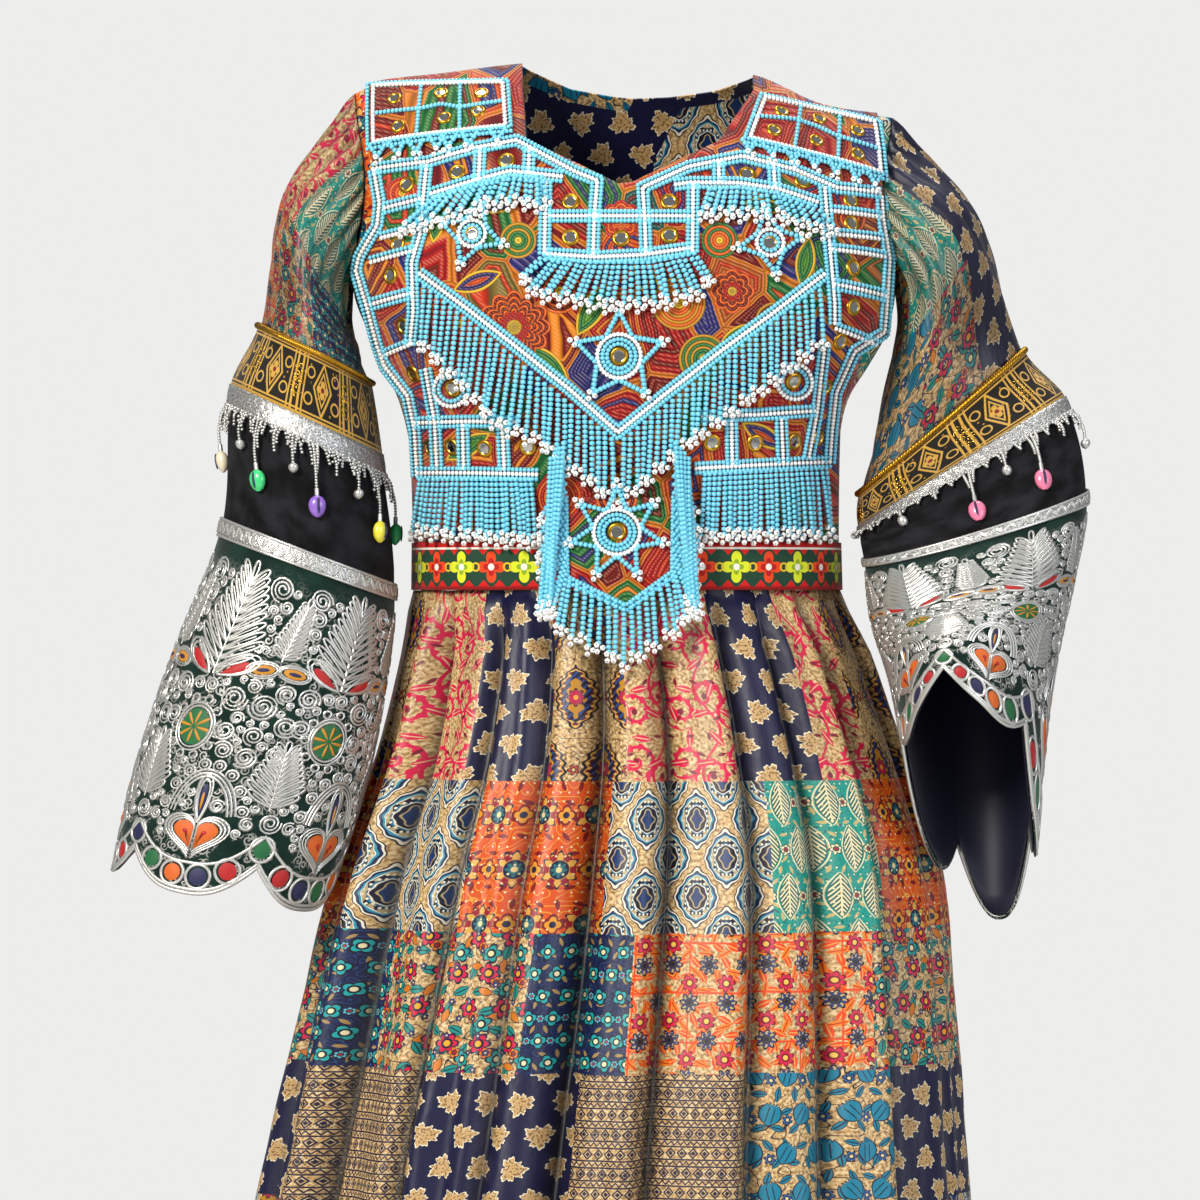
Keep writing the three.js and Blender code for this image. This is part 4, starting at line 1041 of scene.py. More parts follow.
def flame_print():
    design = sandy("print_flame")
    orange = "#EE5A0C"
    leaves(design, 12, 11, (4, 3), 6.6, 2.5, orange, "#F0B060")
    leaves(design, 15, 14, (10, 8), 6.8, 2.3, "#F2921A", "#C8380A")
    x, y = design.flat()
    design.paint(y.every(38).abs().below(0.8, 0.2).most(x.every(50).abs().below(0.6, 0.2)), orange)
    blossoms(design, 29, 29, (0, 0), 8, 8.2, ("#16183C", "#C9B78E", "#16183C"))
    cx, cy, _ = design.cells(x, y, 29, 29, 0.5)
    r, a = design.round(cx, cy)
    design.paint((r - 4.6).abs().below(1.5, 0.2) * (a * 4).cos().abs().below(0.8, 0.1), "#3C4C80")
    blossoms(design, 29, 29, (14, 14), 7, 7.4, ("#8A0F34", "#E0205E", "#F3CF6A"), 0.15)
    return finish_satin(design)


def band_print():
    """Rows of fine navy lozenges, zigzags and steps on gold."""
    design = sandy("print_band")
    x, y = design.flat()
    ink = "#20204A"
    v = y.every(30)
    for place in (0, 15):
        w = y.every(30) if place == 0 else (y - 15).every(30)
        design.paint((w.abs() - 4.9).abs().below(0.62, 0.15), ink)
        lozenge = (x + place * 0.3).every(9).abs() / 4.1 + w.abs() / 4.2
        design.paint((lozenge - 0.86).abs().below(0.19, 0.05), ink)
        design.paint(lozenge.below(0.46, 0.06), ink)
    steps = (v.abs() - 7.5).abs()
    zigzag = (x.every(5.2).abs() * 1.1 - 1.4 - (v.abs() - 7.5)).abs()
    design.paint(zigzag.below(0.75, 0.15) * steps.below(1.8, 0.15), ink)
    fine = ((x * 2.4).sin() * (y * 2.4).sin()).above(0.5, 0.2)
    design.paint(fine * v.abs().above(10.6, 0.1) * v.abs().below(19) * 0.85, ink)
    return finish_satin(design)


def tulip_print():
    design = sandy("print_tulip")
    ink, teal = "#15173A", "#0F90AC"
    scrolls(design, 16, 13, 0.13, ink)
    leaves(design, 14, 13, (3, 8), 5.6, 2.1, teal, ink, 0.0, ink)
    x, y = design.flat()
    cx, cy, pick = design.cells(x, y, 27, 30, 0.5)
    u, v = turned(cx, cy, pick * 1.6 - 0.8)
    cup = u.abs() / (1.0 - v * 0.035) + v * v / 15
    tooth = (u * 1.25).cos().abs() * 2.6
    design.paint(cup.below(8.6, 0.2) * (v - tooth).below(4.4, 0.2), ink)
    design.paint(cup.below(7.6, 0.2) * (v - tooth).below(3.6, 0.2), teal)
    design.paint((u.abs() - 2.2).abs().below(0.4, 0.15) * cup.below(6.6) * v.below(3), ink)
    blossoms(design, 27, 30, (13, 6), 6, 4.6, (ink, "#3E6FA8", "#E8D9A8"), 0.3)
    return finish_satin(design)


def paisley_print():
    design = sandy("print_paisley")
    x, y = design.flat()
    scrolls(design, 11, 16, 0.2, "#1D1B3C", 0.8)
    cx, cy, _ = design.cells(x, y, 46, 56, 0.5)
    lace = (cy * 0.9).sin() * 1.2
    drop = cx.abs() + (cy * cy) / 36 + lace
    for limit, colour in (
        (17.5, "#1D1B3C"), (15.2, "#D9A94A"), (14, "#7A1230"), (11.8, "#1D1B3C"), (7.2, "#C8962E"),
    ):
        design.paint(drop.below(limit, 0.25), colour)
    ring = drop.above(12.2, 0.2) * drop.below(14.2, 0.2)
    design.paint(ring * (cy * 1.6).sin().above(0.1, 0.3), "#E3C27C")
    seeds = drop.above(7.6, 0.2) * drop.below(11.6, 0.2) * ((cx + cy) * 1.1).sin().above(0.2, 0.3)
    design.paint(seeds, "#3C5C9C")
    r, a = design.round(cx, cy)
    design.paint((r / ((a * 4).cos().abs() * 0.35 + 0.65)).below(7.4, 0.2), "#1D1B3C")
    design.paint((r / ((a * 4).cos().abs() * 0.35 + 0.65)).below(6.2, 0.2), "#C4285C")
    design.paint(r.below(1.9, 0.2), "#E9B23A")
    blossoms(design, 46, 56, (23, 0), 5, 4.6, ("#1D1B3C", "#C8532A", "#E3C27C"))
    return finish_satin(design)


PRINTS = [
    leaf_print(),
    vine_print(),
    medallion_print(),
    ogee_print(),
    damask_print(),
    posy_print(),
    dot_flower_print(),
    flame_print(),
    band_print(),
    tulip_print(),
    paisley_print(),
]
(LEAF, VINE, MEDALLION, OGEE, DAMASK, POSY, DOTS, FLAME, BANDS, TULIP, PAISLEY) = range(len(PRINTS))


# Finishes of the other pieces

DISCS = named_rows("x y r petals inner outer", [
    (516, 335, 36, 12, RED, ORANGE), (462, 330, 20, 0, ORANGE, RED), (560, 300, 22, 0, RED, ORANGE),
    (676, 312, 26, 0, ORANGE, GOLD), (728, 300, 22, 8, RED, ORANGE), (700, 366, 24, 0, GREEN, GOLD),
    (560, 500, 24, 0, ORANGE, RED), (470, 385, 22, 8, ORANGE, RED), (770, 330, 20, 0, RED, GOLD),
    (452, 505, 26, 10, ORANGE, RED), (500, 520, 20, 0, VIOLET, GOLD), (732, 500, 26, 10, ORANGE, RED),
    (790, 505, 22, 0, GREEN, GOLD), (405, 200, 16, 0, ORANGE, RED), (845, 225, 16, 0, RED, ORANGE),
    (620, 230, 20, 8, ORANGE, RED), (520, 250, 18, 0, GREEN, GOLD), (716, 250, 18, 0, ORANGE, GREEN),
    (616, 500, 20, 0, RED, ORANGE),
])
LEAVES = named_rows("x y long wide turn colour", [
    (592, 318, 30, 12, 60, GREEN), (548, 370, 28, 11, -40, GREEN), (690, 420, 34, 12, 70, GREEN),
    (735, 345, 26, 11, 30, GREEN), (645, 290, 26, 10, -60, VIOLET), (480, 290, 26, 10, 20, VIOLET),
    (800, 270, 26, 10, 80, GREEN), (440, 230, 22, 9, 80, GREEN), (470, 450, 26, 10, 30, GREEN),
    (760, 440, 26, 10, -30, VIOLET), (500, 215, 22, 8, 10, VIOLET), (760, 215, 22, 8, -10, GREEN),
])
STITCH_ROW = 2.3
STITCH_LONG = 3.4


def embroidery(name):
    """Dense rows of chain stitch that follow the outlines of petals, leaves and circles."""
    work = Finish(name, "#8E3412", roughness=0.82, sheen=0.25, specular=0.25)
    x, y = work.flat()
    warp = work.noise(x, y, 46) * 12
    node = work.tree.nodes.new("ShaderNodeTexVoronoi")
    node.feature = "DISTANCE_TO_EDGE"
    node.inputs["Scale"].default_value = 1
    picker = work.tree.nodes.new("ShaderNodeTexVoronoi")
    picker.inputs["Scale"].default_value = 1
    place = work.vector((x + warp) / 38, (y - warp) / 44)
    for source in (node, picker):
        work.tree.links.new(place, source.inputs["Vector"])
    edge = work.val(node.outputs["Distance"]) * 38
    parts = work.tree.nodes.new("ShaderNodeSeparateXYZ")
    work.tree.links.new(picker.outputs["Color"], parts.inputs[0])
    pick = work.val(parts.outputs[0])
    shade = work.val(parts.outputs[1])
    height = edge
    for low, colour in (
        (0.0, "#B01018"), (0.36, "#CF5A10"), (0.47, "#0E7A40"), (0.6, "#2F3680"), (0.76, "#860A14"),
    ):
        work.paint(pick.above(low, 0.005), colour)
    row = (edge / STITCH_ROW).floor()
    band = (row / 3).math("FRACT").above(0.5, 0.05)
    for low, colour in ((0.0, "#C33A10"), (0.26, "#D98A1A"), (0.46, "#7C0A12"), (0.74, "#2B3278")):
        work.paint(band * shade.above(low, 0.01) * edge.above(STITCH_ROW * 2), colour)
    work.paint(edge.below(STITCH_ROW * 0.55, 0.2), "#D08020")
    for leaf in LEAVES:
        turn = math.radians(leaf["turn"])
        dx, dy = (here - float(at) for here, at in zip((x, y), to_mm([(leaf["x"], leaf["y"])])[0]))
        along = dx * math.cos(turn) + dy * math.sin(turn)
        across = dy * math.cos(turn) - dx * math.sin(turn)
        long, wide = leaf["long"] * PIXEL, leaf["wide"] * PIXEL
        inside = wide * (1 - (along / long) * (along / long)) - across.abs()
        mask = inside.above(0, 0.2)
        work.paint(mask, "#E2B92E")
        work.paint(inside.above(STITCH_ROW, 0.2), leaf["colour"])
        work.paint(
            inside.above(STITCH_ROW * 2.6, 0.2),
            "#5E9A35" if leaf["colour"] == GREEN else "#D9601A",
        )
        height = height * (1 - mask) + inside * mask
    for disc in DISCS:
        dx, dy = (here - float(at) for here, at in zip((x, y), to_mm([(disc["x"], disc["y"])])[0]))
        r, a = work.round(dx, dy)
        radius = disc["r"] * PIXEL
        rim = (a * (disc["petals"] / 2)).cos().abs() * (0.16 * radius) if disc["petals"] else 0.0
        inside = (radius - 0.16 * radius * bool(disc["petals"]) - r) + rim
        mask = inside.above(0, 0.2)
        work.paint(mask, disc["outer"])
        ring = ((inside / (2 * STITCH_ROW)).math("FRACT")).above(0.5, 0.05)
        work.paint(ring * mask, "#7C1010" if disc["inner"] == RED else disc["inner"])
        work.paint(r.below(radius * 0.42, 0.2), disc["inner"])
        work.paint(r.below(radius * 0.2, 0.2), "#E8C33A")
        height = height * (1 - mask) + inside * mask
    stitch = (height * (math.pi / STITCH_ROW)).sin().abs()
    work.deepen(1.22)
    link = ((x * 0.8 + y * 1.1) * (2 * math.pi / STITCH_LONG)).sin() * 0.5 + 0.5
    # Painted shade between the stitch rows
    work.paint((1 - stitch.above(0.42, 0.3)) * 0.5, "#1E0705")
    # Painted highlight on the crowns of the stitches
    work.paint(stitch.above(0.8, 0.2) * link * 0.16, "#FFE0B0")
    return work.bump(stitch * (0.7 + 0.3 * link), 0.9, 0.9).material


def couched_velvet(name, colour, glow):
    """Velvet with small silver curls between the raised cords."""
    pile = Finish(name, colour, roughness=0.9, sheen=0.22, specular=0.15)
    x, y = pile.flat()
    pile.paint(pile.noise(x, y, 26, 3).above(0.52, 0.2) * 0.35, glow)
    mark = 0.0
    for shift, size in (((0, 0), 11.5), ((6, 4), 8.5)):
        cx, cy, pick = pile.cells(x, y, size * 1.1, size, 0.5, shift)
        r, a = pile.round(cx, cy)
        arm = (r * 2.1 + a + pick * 6).sin().above(0.15, 0.25) * r.below(size * 0.43, 0.3)
        mark = arm.most(mark)
    mark = mark * pile.noise(x, y, 20, 1).above(0.5, 0.03) * y.above(400, 30)
    pile.paint(mark, "#A9A9A4")
    pile.tree.links.new((mark * 0.6).socket, pile.shader.inputs["Metallic"])
    pile.gloss(mark, 0.42, 0.92)
    return pile.bump(mark, 1.0, 0.8).material


def velvet(name, colour, glow):
    pile = Finish(name, colour, roughness=0.95, sheen=0.55, specular=0.15)
    pile.shader.inputs["Sheen Roughness"].default_value = 0.35
    pile.shader.inputs["Sheen Tint"].default_value = rgba(glow)
    x, y = pile.flat()
    pile.paint(pile.noise(x, y, 26, 3).above(0.52, 0.2) * 0.35, glow)
    return pile.bump(pile.noise(x, y, 0.7, 2), 0.35, 0.5).material


def plain(name, colour, roughness=0.5, metallic=0.0, coat=0.0, sheen=0.0, specular=0.5):
    return Finish(name, colour, roughness, metallic, sheen, coat, specular).material


def ribbon():
    """The woven waist ribbon: x runs round the waist, y up from its lower edge."""
    weave = Finish("ribbon_weave", "#19412D", roughness=0.7, sheen=0.1, specular=0.3)
    x, y = weave.flat()
    high = 37.0
    spike = x.every(14).abs() * 1.1
    weave.paint((y - 4.6 + spike * 0.9).below(3.2, 0.25), "#D71414")
    weave.paint((high - 6.4 - y + spike * 0.9).below(3.2, 0.25), "#D71414")
    weave.paint(y.below(2.6, 0.2), "#A81010")
    weave.paint((y - high + 3.8).above(0, 0.2), "#C01212")
    weave.paint((y - high + 4.4).abs().below(0.8, 0.2), CREAM)
    fx, fy, _ = weave.cells(x, y, 28, high, 0.0)
    odd = (((x / 28).floor() / 2).math("FRACT")).above(0.25, 0.05)
    r, a = weave.round(fx, fy + 0.6)
    petal = r / ((a * 2).cos().abs() * 0.62 + 0.38)
    weave.paint(petal.below(12.4, 0.3), "#F04614")
    weave.paint(petal.below(12.4, 0.3) * odd, LIME)
    weave.paint(petal.below(7.2, 0.3) * (1 - odd), "#B8120F")
    weave.paint(petal.below(6.2, 0.3) * odd, "#8FB01A")
    weave.paint(r.below(2.7, 0.3), CREAM)
    sx, sy, _ = weave.cells(x, y, 28, high, 0.0, (14, 0))
    stem = weave.round(sx, sy + 0.6)[0]
    weave.paint((stem - 3).abs().below(0.7, 0.2), "#E0C02A")
    thread = (y * (2 * math.pi / 0.9)).sin() * (x * (2 * math.pi / 1.1)).sin()
    return weave.bump(thread * 0.5 + 0.5, 0.25, 0.6).material


def gold_band():
    """Black cloth with gold couched threads: x round the arm, y along it from the band's upper edge."""
    work = Finish("gold_embroidery", "#120D08", roughness=0.75, sheen=0.2, specular=0.3)
    x, y = work.flat()
    high = 50.0
    period = 52.0
    cx = x.every(period)
    cy = y - high / 2
    gold = "#C8922A"
    bars = (cx.abs() - period / 2 + 3).abs().below(1.1, 0.2)
    bars = bars.most((cx.abs() - period / 2 + 7).abs().below(0.8, 0.2))
    edge = (cy.abs() - high / 2 + 2.4).abs().below(1.5, 0.2)
    edge = edge.most((cy.abs() - high / 2 + 6).abs().below(0.8, 0.2))
    leaf = cx.abs() / 9 + cy.abs() / 18
    diamond = (leaf - 1).abs().below(0.11, 0.03).most((leaf - 0.62).abs().below(0.08, 0.03))
    r, a = work.round(cx, cy)
    petal = r / ((a * 2).cos().abs() * 0.55 + 0.45)
    flower = petal.below(6.2, 0.3)
    hook = work.round(cx.abs() - 13.5, cy.abs() - 9)[0]
    curls = (hook - 3.8).abs().below(0.7, 0.2)
    mark = bars.most(edge).most(diamond).most(flower).most(curls)
    thread = ((x + y) * (2 * math.pi / 1.6)).sin() * 0.5 + 0.5
    work.paint(mark, gold)
    # Painted highlight along the twists of the gold thread
    work.paint(mark * thread * 0.5, "#F3CF6A")
    work.paint(r.below(1.8, 0.2), "#7A1010")
    gx, gy, pick = work.cells(x, y, 4.2, 4.2, 0.5)
    work.paint(work.round(gx, gy)[0].below(0.8, 0.2) * pick.above(0.85, 0.02) * (1 - mark), "#A87A20")
    work.gloss(mark, 0.35, 0.8)
    return work.bump(mark * (0.6 + 0.4 * thread), 1.1, 0.9).material


EMBROIDERY = embroidery("chain_stitch")
BLUE_BEAD = plain("bead_blue", "#76D3EE", roughness=0.22, coat=0.4)
WHITE_BEAD = plain("bead_white", "#FFFFFC", roughness=0.25, coat=0.4)
MIRROR = plain("mirror_glass", "#BDBDB8", roughness=0.12, metallic=1.0)
GOLD_METAL = plain("gilt_metal", "#C8962E", roughness=0.3, metallic=1.0)
SILVER = plain("silver_thread", "#D4D4D0", roughness=0.36, metallic=0.72)
BELL_VELVET = couched_velvet("velvet_couched", DEEP_GREEN, "#1F4238")
BLACK_VELVET = velvet("velvet_black", "#0A0A0C", "#3A3A40")
NAVY_SATIN = plain("satin_navy", "#121329", roughness=0.5, sheen=0.1, specular=0.35)
THREAD_RED = plain("thread_red", "#AE1214", roughness=0.6, sheen=0.05)
THREAD_ORANGE = plain("thread_orange", "#CE5E10", roughness=0.6, sheen=0.05)
THREAD_NAVY = plain("thread_navy", "#1A1C4A", roughness=0.6, sheen=0.05)
THREAD_GREEN = plain("thread_green", "#116233", roughness=0.6, sheen=0.05)
COWRIE = {
    "cream": plain("cowrie_cream", "#E8DCC0", roughness=0.3, coat=0.5),
    "green": plain("cowrie_green", "#3CCB78", roughness=0.3, coat=0.5),
    "violet": plain("cowrie_violet", "#8F66C6", roughness=0.3, coat=0.5),
    "yellow": plain("cowrie_yellow", "#E6DC3E", roughness=0.3, coat=0.5),
    "pink": plain("cowrie_pink", "#EC7FA2", roughness=0.3, coat=0.5),
}

# Skirt: the print's patches in rows. Widths are in columns of the skirt's grid, from the right side
# through the front, and start is where the first patch begins.

SKIRT_COLUMNS = 480
PATCH_ROWS = named_rows("top bottom start widths designs", [
    (
        -392, -541, 13, [29, 24, 27, 31, 23, 27, 32, 24, 24],
        [PAISLEY, VINE, LEAF, VINE, PAISLEY, LEAF, VINE, PAISLEY, VINE],
    ),
    (-541, -658, 5, [41, 39, 43, 36, 41, 40], [MEDALLION, DAMASK, OGEE, MEDALLION, OGEE, MEDALLION]),
    (-658, -765, 20, [39, 61, 24, 44, 35, 37], [POSY, FLAME, DOTS, POSY, DOTS, POSY]),
    (-765, -872, 8, [43, 40, 39, 40, 36, 43], [LEAF, TULIP, BANDS, LEAF, BANDS, LEAF]),
    (-872, -990, 29, [40, 37, 43, 39, 40, 41], [VINE, PAISLEY, VINE, MEDALLION, PAISLEY, OGEE]),
    (-990, -1104, 12, [39, 43, 40, 37, 41, 40], [DAMASK, MEDALLION, OGEE, MEDALLION, DAMASK, FLAME]),
    (-1104, -1222, 24, [41, 39, 40, 41, 37, 41], [POSY, DOTS, FLAME, POSY, DOTS, TULIP]),
    (-1222, -1341, 3, [40, 41, 39, 40, 41, 39], [TULIP, LEAF, BANDS, VINE, LEAF, PAISLEY]),
])
ROWS_IN_PATCH = 9


def patch_columns(row):
    """For each column of the skirt: its design, and its place across its patch from 0 to 1."""
    designs = np.zeros(SKIRT_COLUMNS, int)
    place = np.zeros((SKIRT_COLUMNS, 2))
    column, index = row["start"], 0
    done = 0
    while done < SKIRT_COLUMNS:
        k = index % len(row["widths"])
        width = min(row["widths"][k], SKIRT_COLUMNS - done)
        for i in range(width):
            at = (column + i) % SKIRT_COLUMNS
            designs[at] = row["designs"][k]
            place[at] = (i / row["widths"][k], (i + 1) / row["widths"][k])
        column += width
        done += width
        index += 1
    return designs, place


def patch_widths(row):
    """For each column of the skirt: the width of its patch in columns."""
    _, place = patch_columns(row)
    return 1 / (place[:, 1] - place[:, 0])


def skirt_panel(facing):
    degrees_all = np.linspace(0, 360, SKIRT_COLUMNS + 1)
    half = SKIRT_COLUMNS // 2
    first = 0 if facing == "front" else half
    degrees = degrees_all[first : first + half + 1]
    points, quads, corners, slots, shades = [], [], [], [], []
    base = 0
    for row in PATCH_ROWS:
        heights = np.linspace(
            row["top"] - 0.4 * (row["top"] == WAIST_Z), row["bottom"], ROWS_IN_PATCH + 1,
        )
        grid, shade = skirt_point(degrees[None, :], heights[:, None])
        shades.append(shade.reshape(-1))
        grid[..., 1] += -SEAM_Y if facing == "front" else SEAM_Y
        designs, place = patch_columns(row)
        ring, _ = skirt_point(degrees_all, (row["top"] + row["bottom"]) / 2)
        per_column = float(np.linalg.norm(np.diff(ring, axis=0), axis=1).sum()) / SKIRT_COLUMNS
        across = patch_widths(row) * per_column
        r, c = np.meshgrid(np.arange(ROWS_IN_PATCH), np.arange(half), indexing="ij")
        a = base + r * (half + 1) + c
        quads.append(np.stack([a, a + half + 1, a + half + 2, a + 1], -1).reshape(-1, 4))
        u0, u1 = place[first + c, 0] * across[first + c], place[first + c, 1] * across[first + c]
        v0, v1 = heights[r], heights[r + 1]
        corner = np.stack(
            [
                np.stack([u0, v0], -1), np.stack([u0, v1], -1), np.stack([u1, v1], -1),
                np.stack([u1, v0], -1),
            ], 2
        )
        corners.append(corner.reshape(-1, 4, 2))
        slots.append(designs[first + c].reshape(-1))
        points.append(grid.reshape(-1, 3))
        base += grid.shape[0] * grid.shape[1]
    made = mesh_object(
        f"skirt_{facing}_cloth",
        np.concatenate(points),
        np.concatenate(quads),
        PRINTS,
        np.concatenate(corners) * MM,
        np.concatenate(slots),
    )
    shade_folds(made, np.concatenate(shades))
    weld = made.modifiers.new("weld", "WELD")
    weld.merge_threshold = 0.00005
    shell = made.modifiers.new("shell", "SOLIDIFY")
    shell.thickness = CLOTH * MM
    shell.offset = -1
    return cloth(made, [f"skirt_{facing}"], 1.35, 0.96, 1.05)


for side in ("front", "back"):
    skirt_panel(side)


# Bodice


def lift_grid(grid, lift):
    """A grid moved outwards by lift."""
    across = np.gradient(grid, axis=1)
    rise = np.gradient(grid, axis=0)
    normal = unit(np.cross(across, rise))
    return grid + normal * lift


front_grid = bodice_grid("front")
back_grid = bodice_grid("back")


def patch_design(x, z, designs, wide, high, shift=0.0):
    """Which design shows in each cell of a grid when the print's patches are this size."""
    row = np.floor(np.median(z, axis=1, keepdims=True) / high).astype(int)
    across = np.median(x, axis=0, keepdims=True)
    column = np.floor((across + shift + row * wide * 0.4) / wide).astype(int)
    return np.asarray(designs)[(column * 3 + row * 5) % len(designs)]


BODICE_DESIGNS = [LEAF, VINE, MEDALLION, OGEE, POSY, TULIP, DAMASK, FLAME]


def bodice_panel(facing, grid):
    x, z = grid[..., 0], grid[..., 2]
    side = -1 if facing == "front" else 1
    uv = np.stack([x, z], -1)
    rows, columns = x.shape
    slots = patch_design(x[:-1, :-1], z[:-1, :-1], BODICE_DESIGNS, 104, 112, 20 * side)
    drop = None
    if facing == "front":
        r, c = np.meshgrid(np.arange(rows - 1), np.arange(columns - 1), indexing="ij")
        drop = (r >= CHEST_ROW) & (c >= GUIDE_COLUMNS[2]) & (c < GUIDE_COLUMNS[3])
    made = sheet_mesh(
        f"bodice_{facing}_cloth", grid, uv, PRINTS, drop=drop, slots=slots, flip=facing == "back",
    )
    return cloth(made, [f"bodice_{facing}"], 0.62, 0.5)


bodice_panel("front", front_grid)
bodice_panel("back", back_grid)

yoke_rows = int(np.argmax(LOW_ROWS >= BAND_TOP_Z))
yoke_grid = front_grid[yoke_rows:, GUIDE_COLUMNS[1] : GUIDE_COLUMNS[4] + 1]
yoke_top = lift_grid(yoke_grid, YOKE_LIFT)
r, c = np.meshgrid(np.arange(yoke_top.shape[0] - 1), np.arange(yoke_top.shape[1] - 1), indexing="ij")
open_neck = (
    (r >= CHEST_ROW - yoke_rows)
    & (c >= GUIDE_COLUMNS[2] - GUIDE_COLUMNS[1])
    & (c < GUIDE_COLUMNS[3] - GUIDE_COLUMNS[1])
)
yoke = sheet_mesh(
    "yoke_panel_embroidery",
    yoke_top,
    np.stack([yoke_top[..., 0], yoke_top[..., 2]], -1),
    [EMBROIDERY],
    drop=open_neck,
    thick=1.8,
)
cloth(yoke, ["yoke_panel"], 0.5, 0.42)

# Waist ribbon

rings = []
for z in (WAIST_Z, BAND_TOP_Z - 0.3):
    across, level = np.linspace(-1, 1, 121), np.full(121, z)
    halves = bodice_point(across, level, "front"), bodice_point(-across, level, "back")
    rings.append(np.concatenate([half[:-1] for half in halves]))
band_grid = np.stack([rings[0] + (rings[1] - rings[0]) * t for t in np.linspace(0, 1, 9)])
out = unit(np.stack([band_grid[..., 0] - 3, band_grid[..., 1] * 1.6, 0 * band_grid[..., 0]], -1))
band_grid = band_grid + out * 2.0
girth = np.concatenate([[0], np.cumsum(np.linalg.norm(np.diff(band_grid[0], axis=0), axis=1))])
girth_uv = np.concatenate([girth, [girth[-1] + 4]])
band_uv = np.stack(np.broadcast_arrays(girth_uv[None, :], (band_grid[:, :1, 2] - WAIST_Z)), -1)
waistband = sheet_mesh("waistband_ribbon", band_grid, band_uv, [ribbon()], wraps=True, thick=1.2)
cloth(waistband, ["waistband"], 1.0, 0.04)

# Sleeves

SLEEVE_TURNS = 140
UPPER_ROWS = 42


def sleeve_part(sleeve, start, end, rows, lift, hem=False, crease=None):
    """A grid of a stretch of the sleeve and its coordinates in millimetres."""
    turns = np.linspace(0, 360, SLEEVE_TURNS, endpoint=False)
    shares = np.linspace(0, 1, rows)[:, None]
    stop = end - scallop(turns)[None, :] if hem else end
    at = start + (stop - start) * shares
    turn = np.broadcast_to(turns, (rows, SLEEVE_TURNS))
    at = np.broadcast_to(at, turn.shape)
    out = lift if crease is None else lift + crease(turn, at)
    grid, _ = sleeve.point(turn, at, out)
    around = sleeve.girth((start + end) / 2)
    u = np.concatenate([turn, turn[:, :1] + 360], 1) / 360 * around
    v = np.concatenate([at, at[:, :1]], 1)
    return grid, np.stack([u, v], -1)


def upper_creases(turn, at):
    """Gathers below the shoulder seam that fade down the arm."""
    fade = np.exp(-at / 60) * np.clip(at / 8, 0, 1)
    gathers = np.cos(np.radians(turn * 22 + 60 * wave(turn / 40, 1.0)))
    slack = wave(turn / 24 + at / 40, 5.0) * np.clip(at / 60, 0, 1) * np.clip((CORD_AT - at) / 30, 0, 1)
    return 3.0 * gathers * fade + 2.6 * slack - 1.0


def velvet_creases(turn, at):
    fade = np.clip((at - BAND_END) / 60, 0, 1) * np.clip((BELL_AT - at) / 20, 0, 1)
    return 1.6 * wave(turn / 26, 2.0) * fade - 0.8


# The upper sleeves' patches: each row runs to a distance down the arm, each patch to a turn in degrees
SLEEVE_PATCHES = {
    "left": [
        dict(until=88, edges=[52, 150, 230, 300, 361], designs=[VINE, DAMASK, LEAF, POSY, FLAME]),
        dict(
            until=191, edges=[40, 92, 160, 240, 310, 361],
            designs=[FLAME, POSY, DOTS, VINE, OGEE, DAMASK],
        ),
    ],
    "right": [
        dict(until=96, edges=[64, 140, 220, 300, 361], designs=[LEAF, DAMASK, POSY, OGEE, VINE]),
        dict(
            until=191, edges=[58, 108, 165, 250, 310, 361],
            designs=[LEAF, POSY, TULIP, BANDS, DOTS, MEDALLION],
        ),
    ],
}


def sleeve_patches(side, turns, ats):
    """The design of each cell of an upper sleeve."""
    slots = np.zeros((len(ats), len(turns)), int)
    for i, at in enumerate(ats):
        row = next(row for row in SLEEVE_PATCHES[side] if at < row["until"])
        slots[i] = np.asarray(row["designs"])[np.searchsorted(row["edges"], turns, side="right")]
    return slots


# The stretches below the upper sleeve. Each one's coordinates start at from_at.
GOLD_BAND = gold_band()
SLEEVE_PARTS = named_rows(
    "part start end rows lift hem crease from_at material thick slot width length held", [
        (
            "band", CORD_AT + 0.2, BAND_END, 8, 0.4, False, None, CORD_AT,
            GOLD_BAND, 1.6, "gold_band", 0.44, 0.09, "stretched",
        ),
        (
            "mid", BAND_END + 0.2, BELL_AT - 0.4, 18, 0, False, velvet_creases, 0,
            BLACK_VELVET, 1.4, "black_velvet", 0.46, 0.16, "hung",
        ),
        (
            "bell", BELL_AT + 0.4, HEM_AT, 34, 0, True, None, 0,
            BELL_VELVET, 1.2, "green_velvet", 0.48, 0.29, "hung",
        ),
        (
            "lining", 470, HEM_AT - 2, 18, -2.4, True, None, 0,
            NAVY_SATIN, 0.8, "navy_satin", 0.48, 0.17, "hung",
        ),
    ],
)


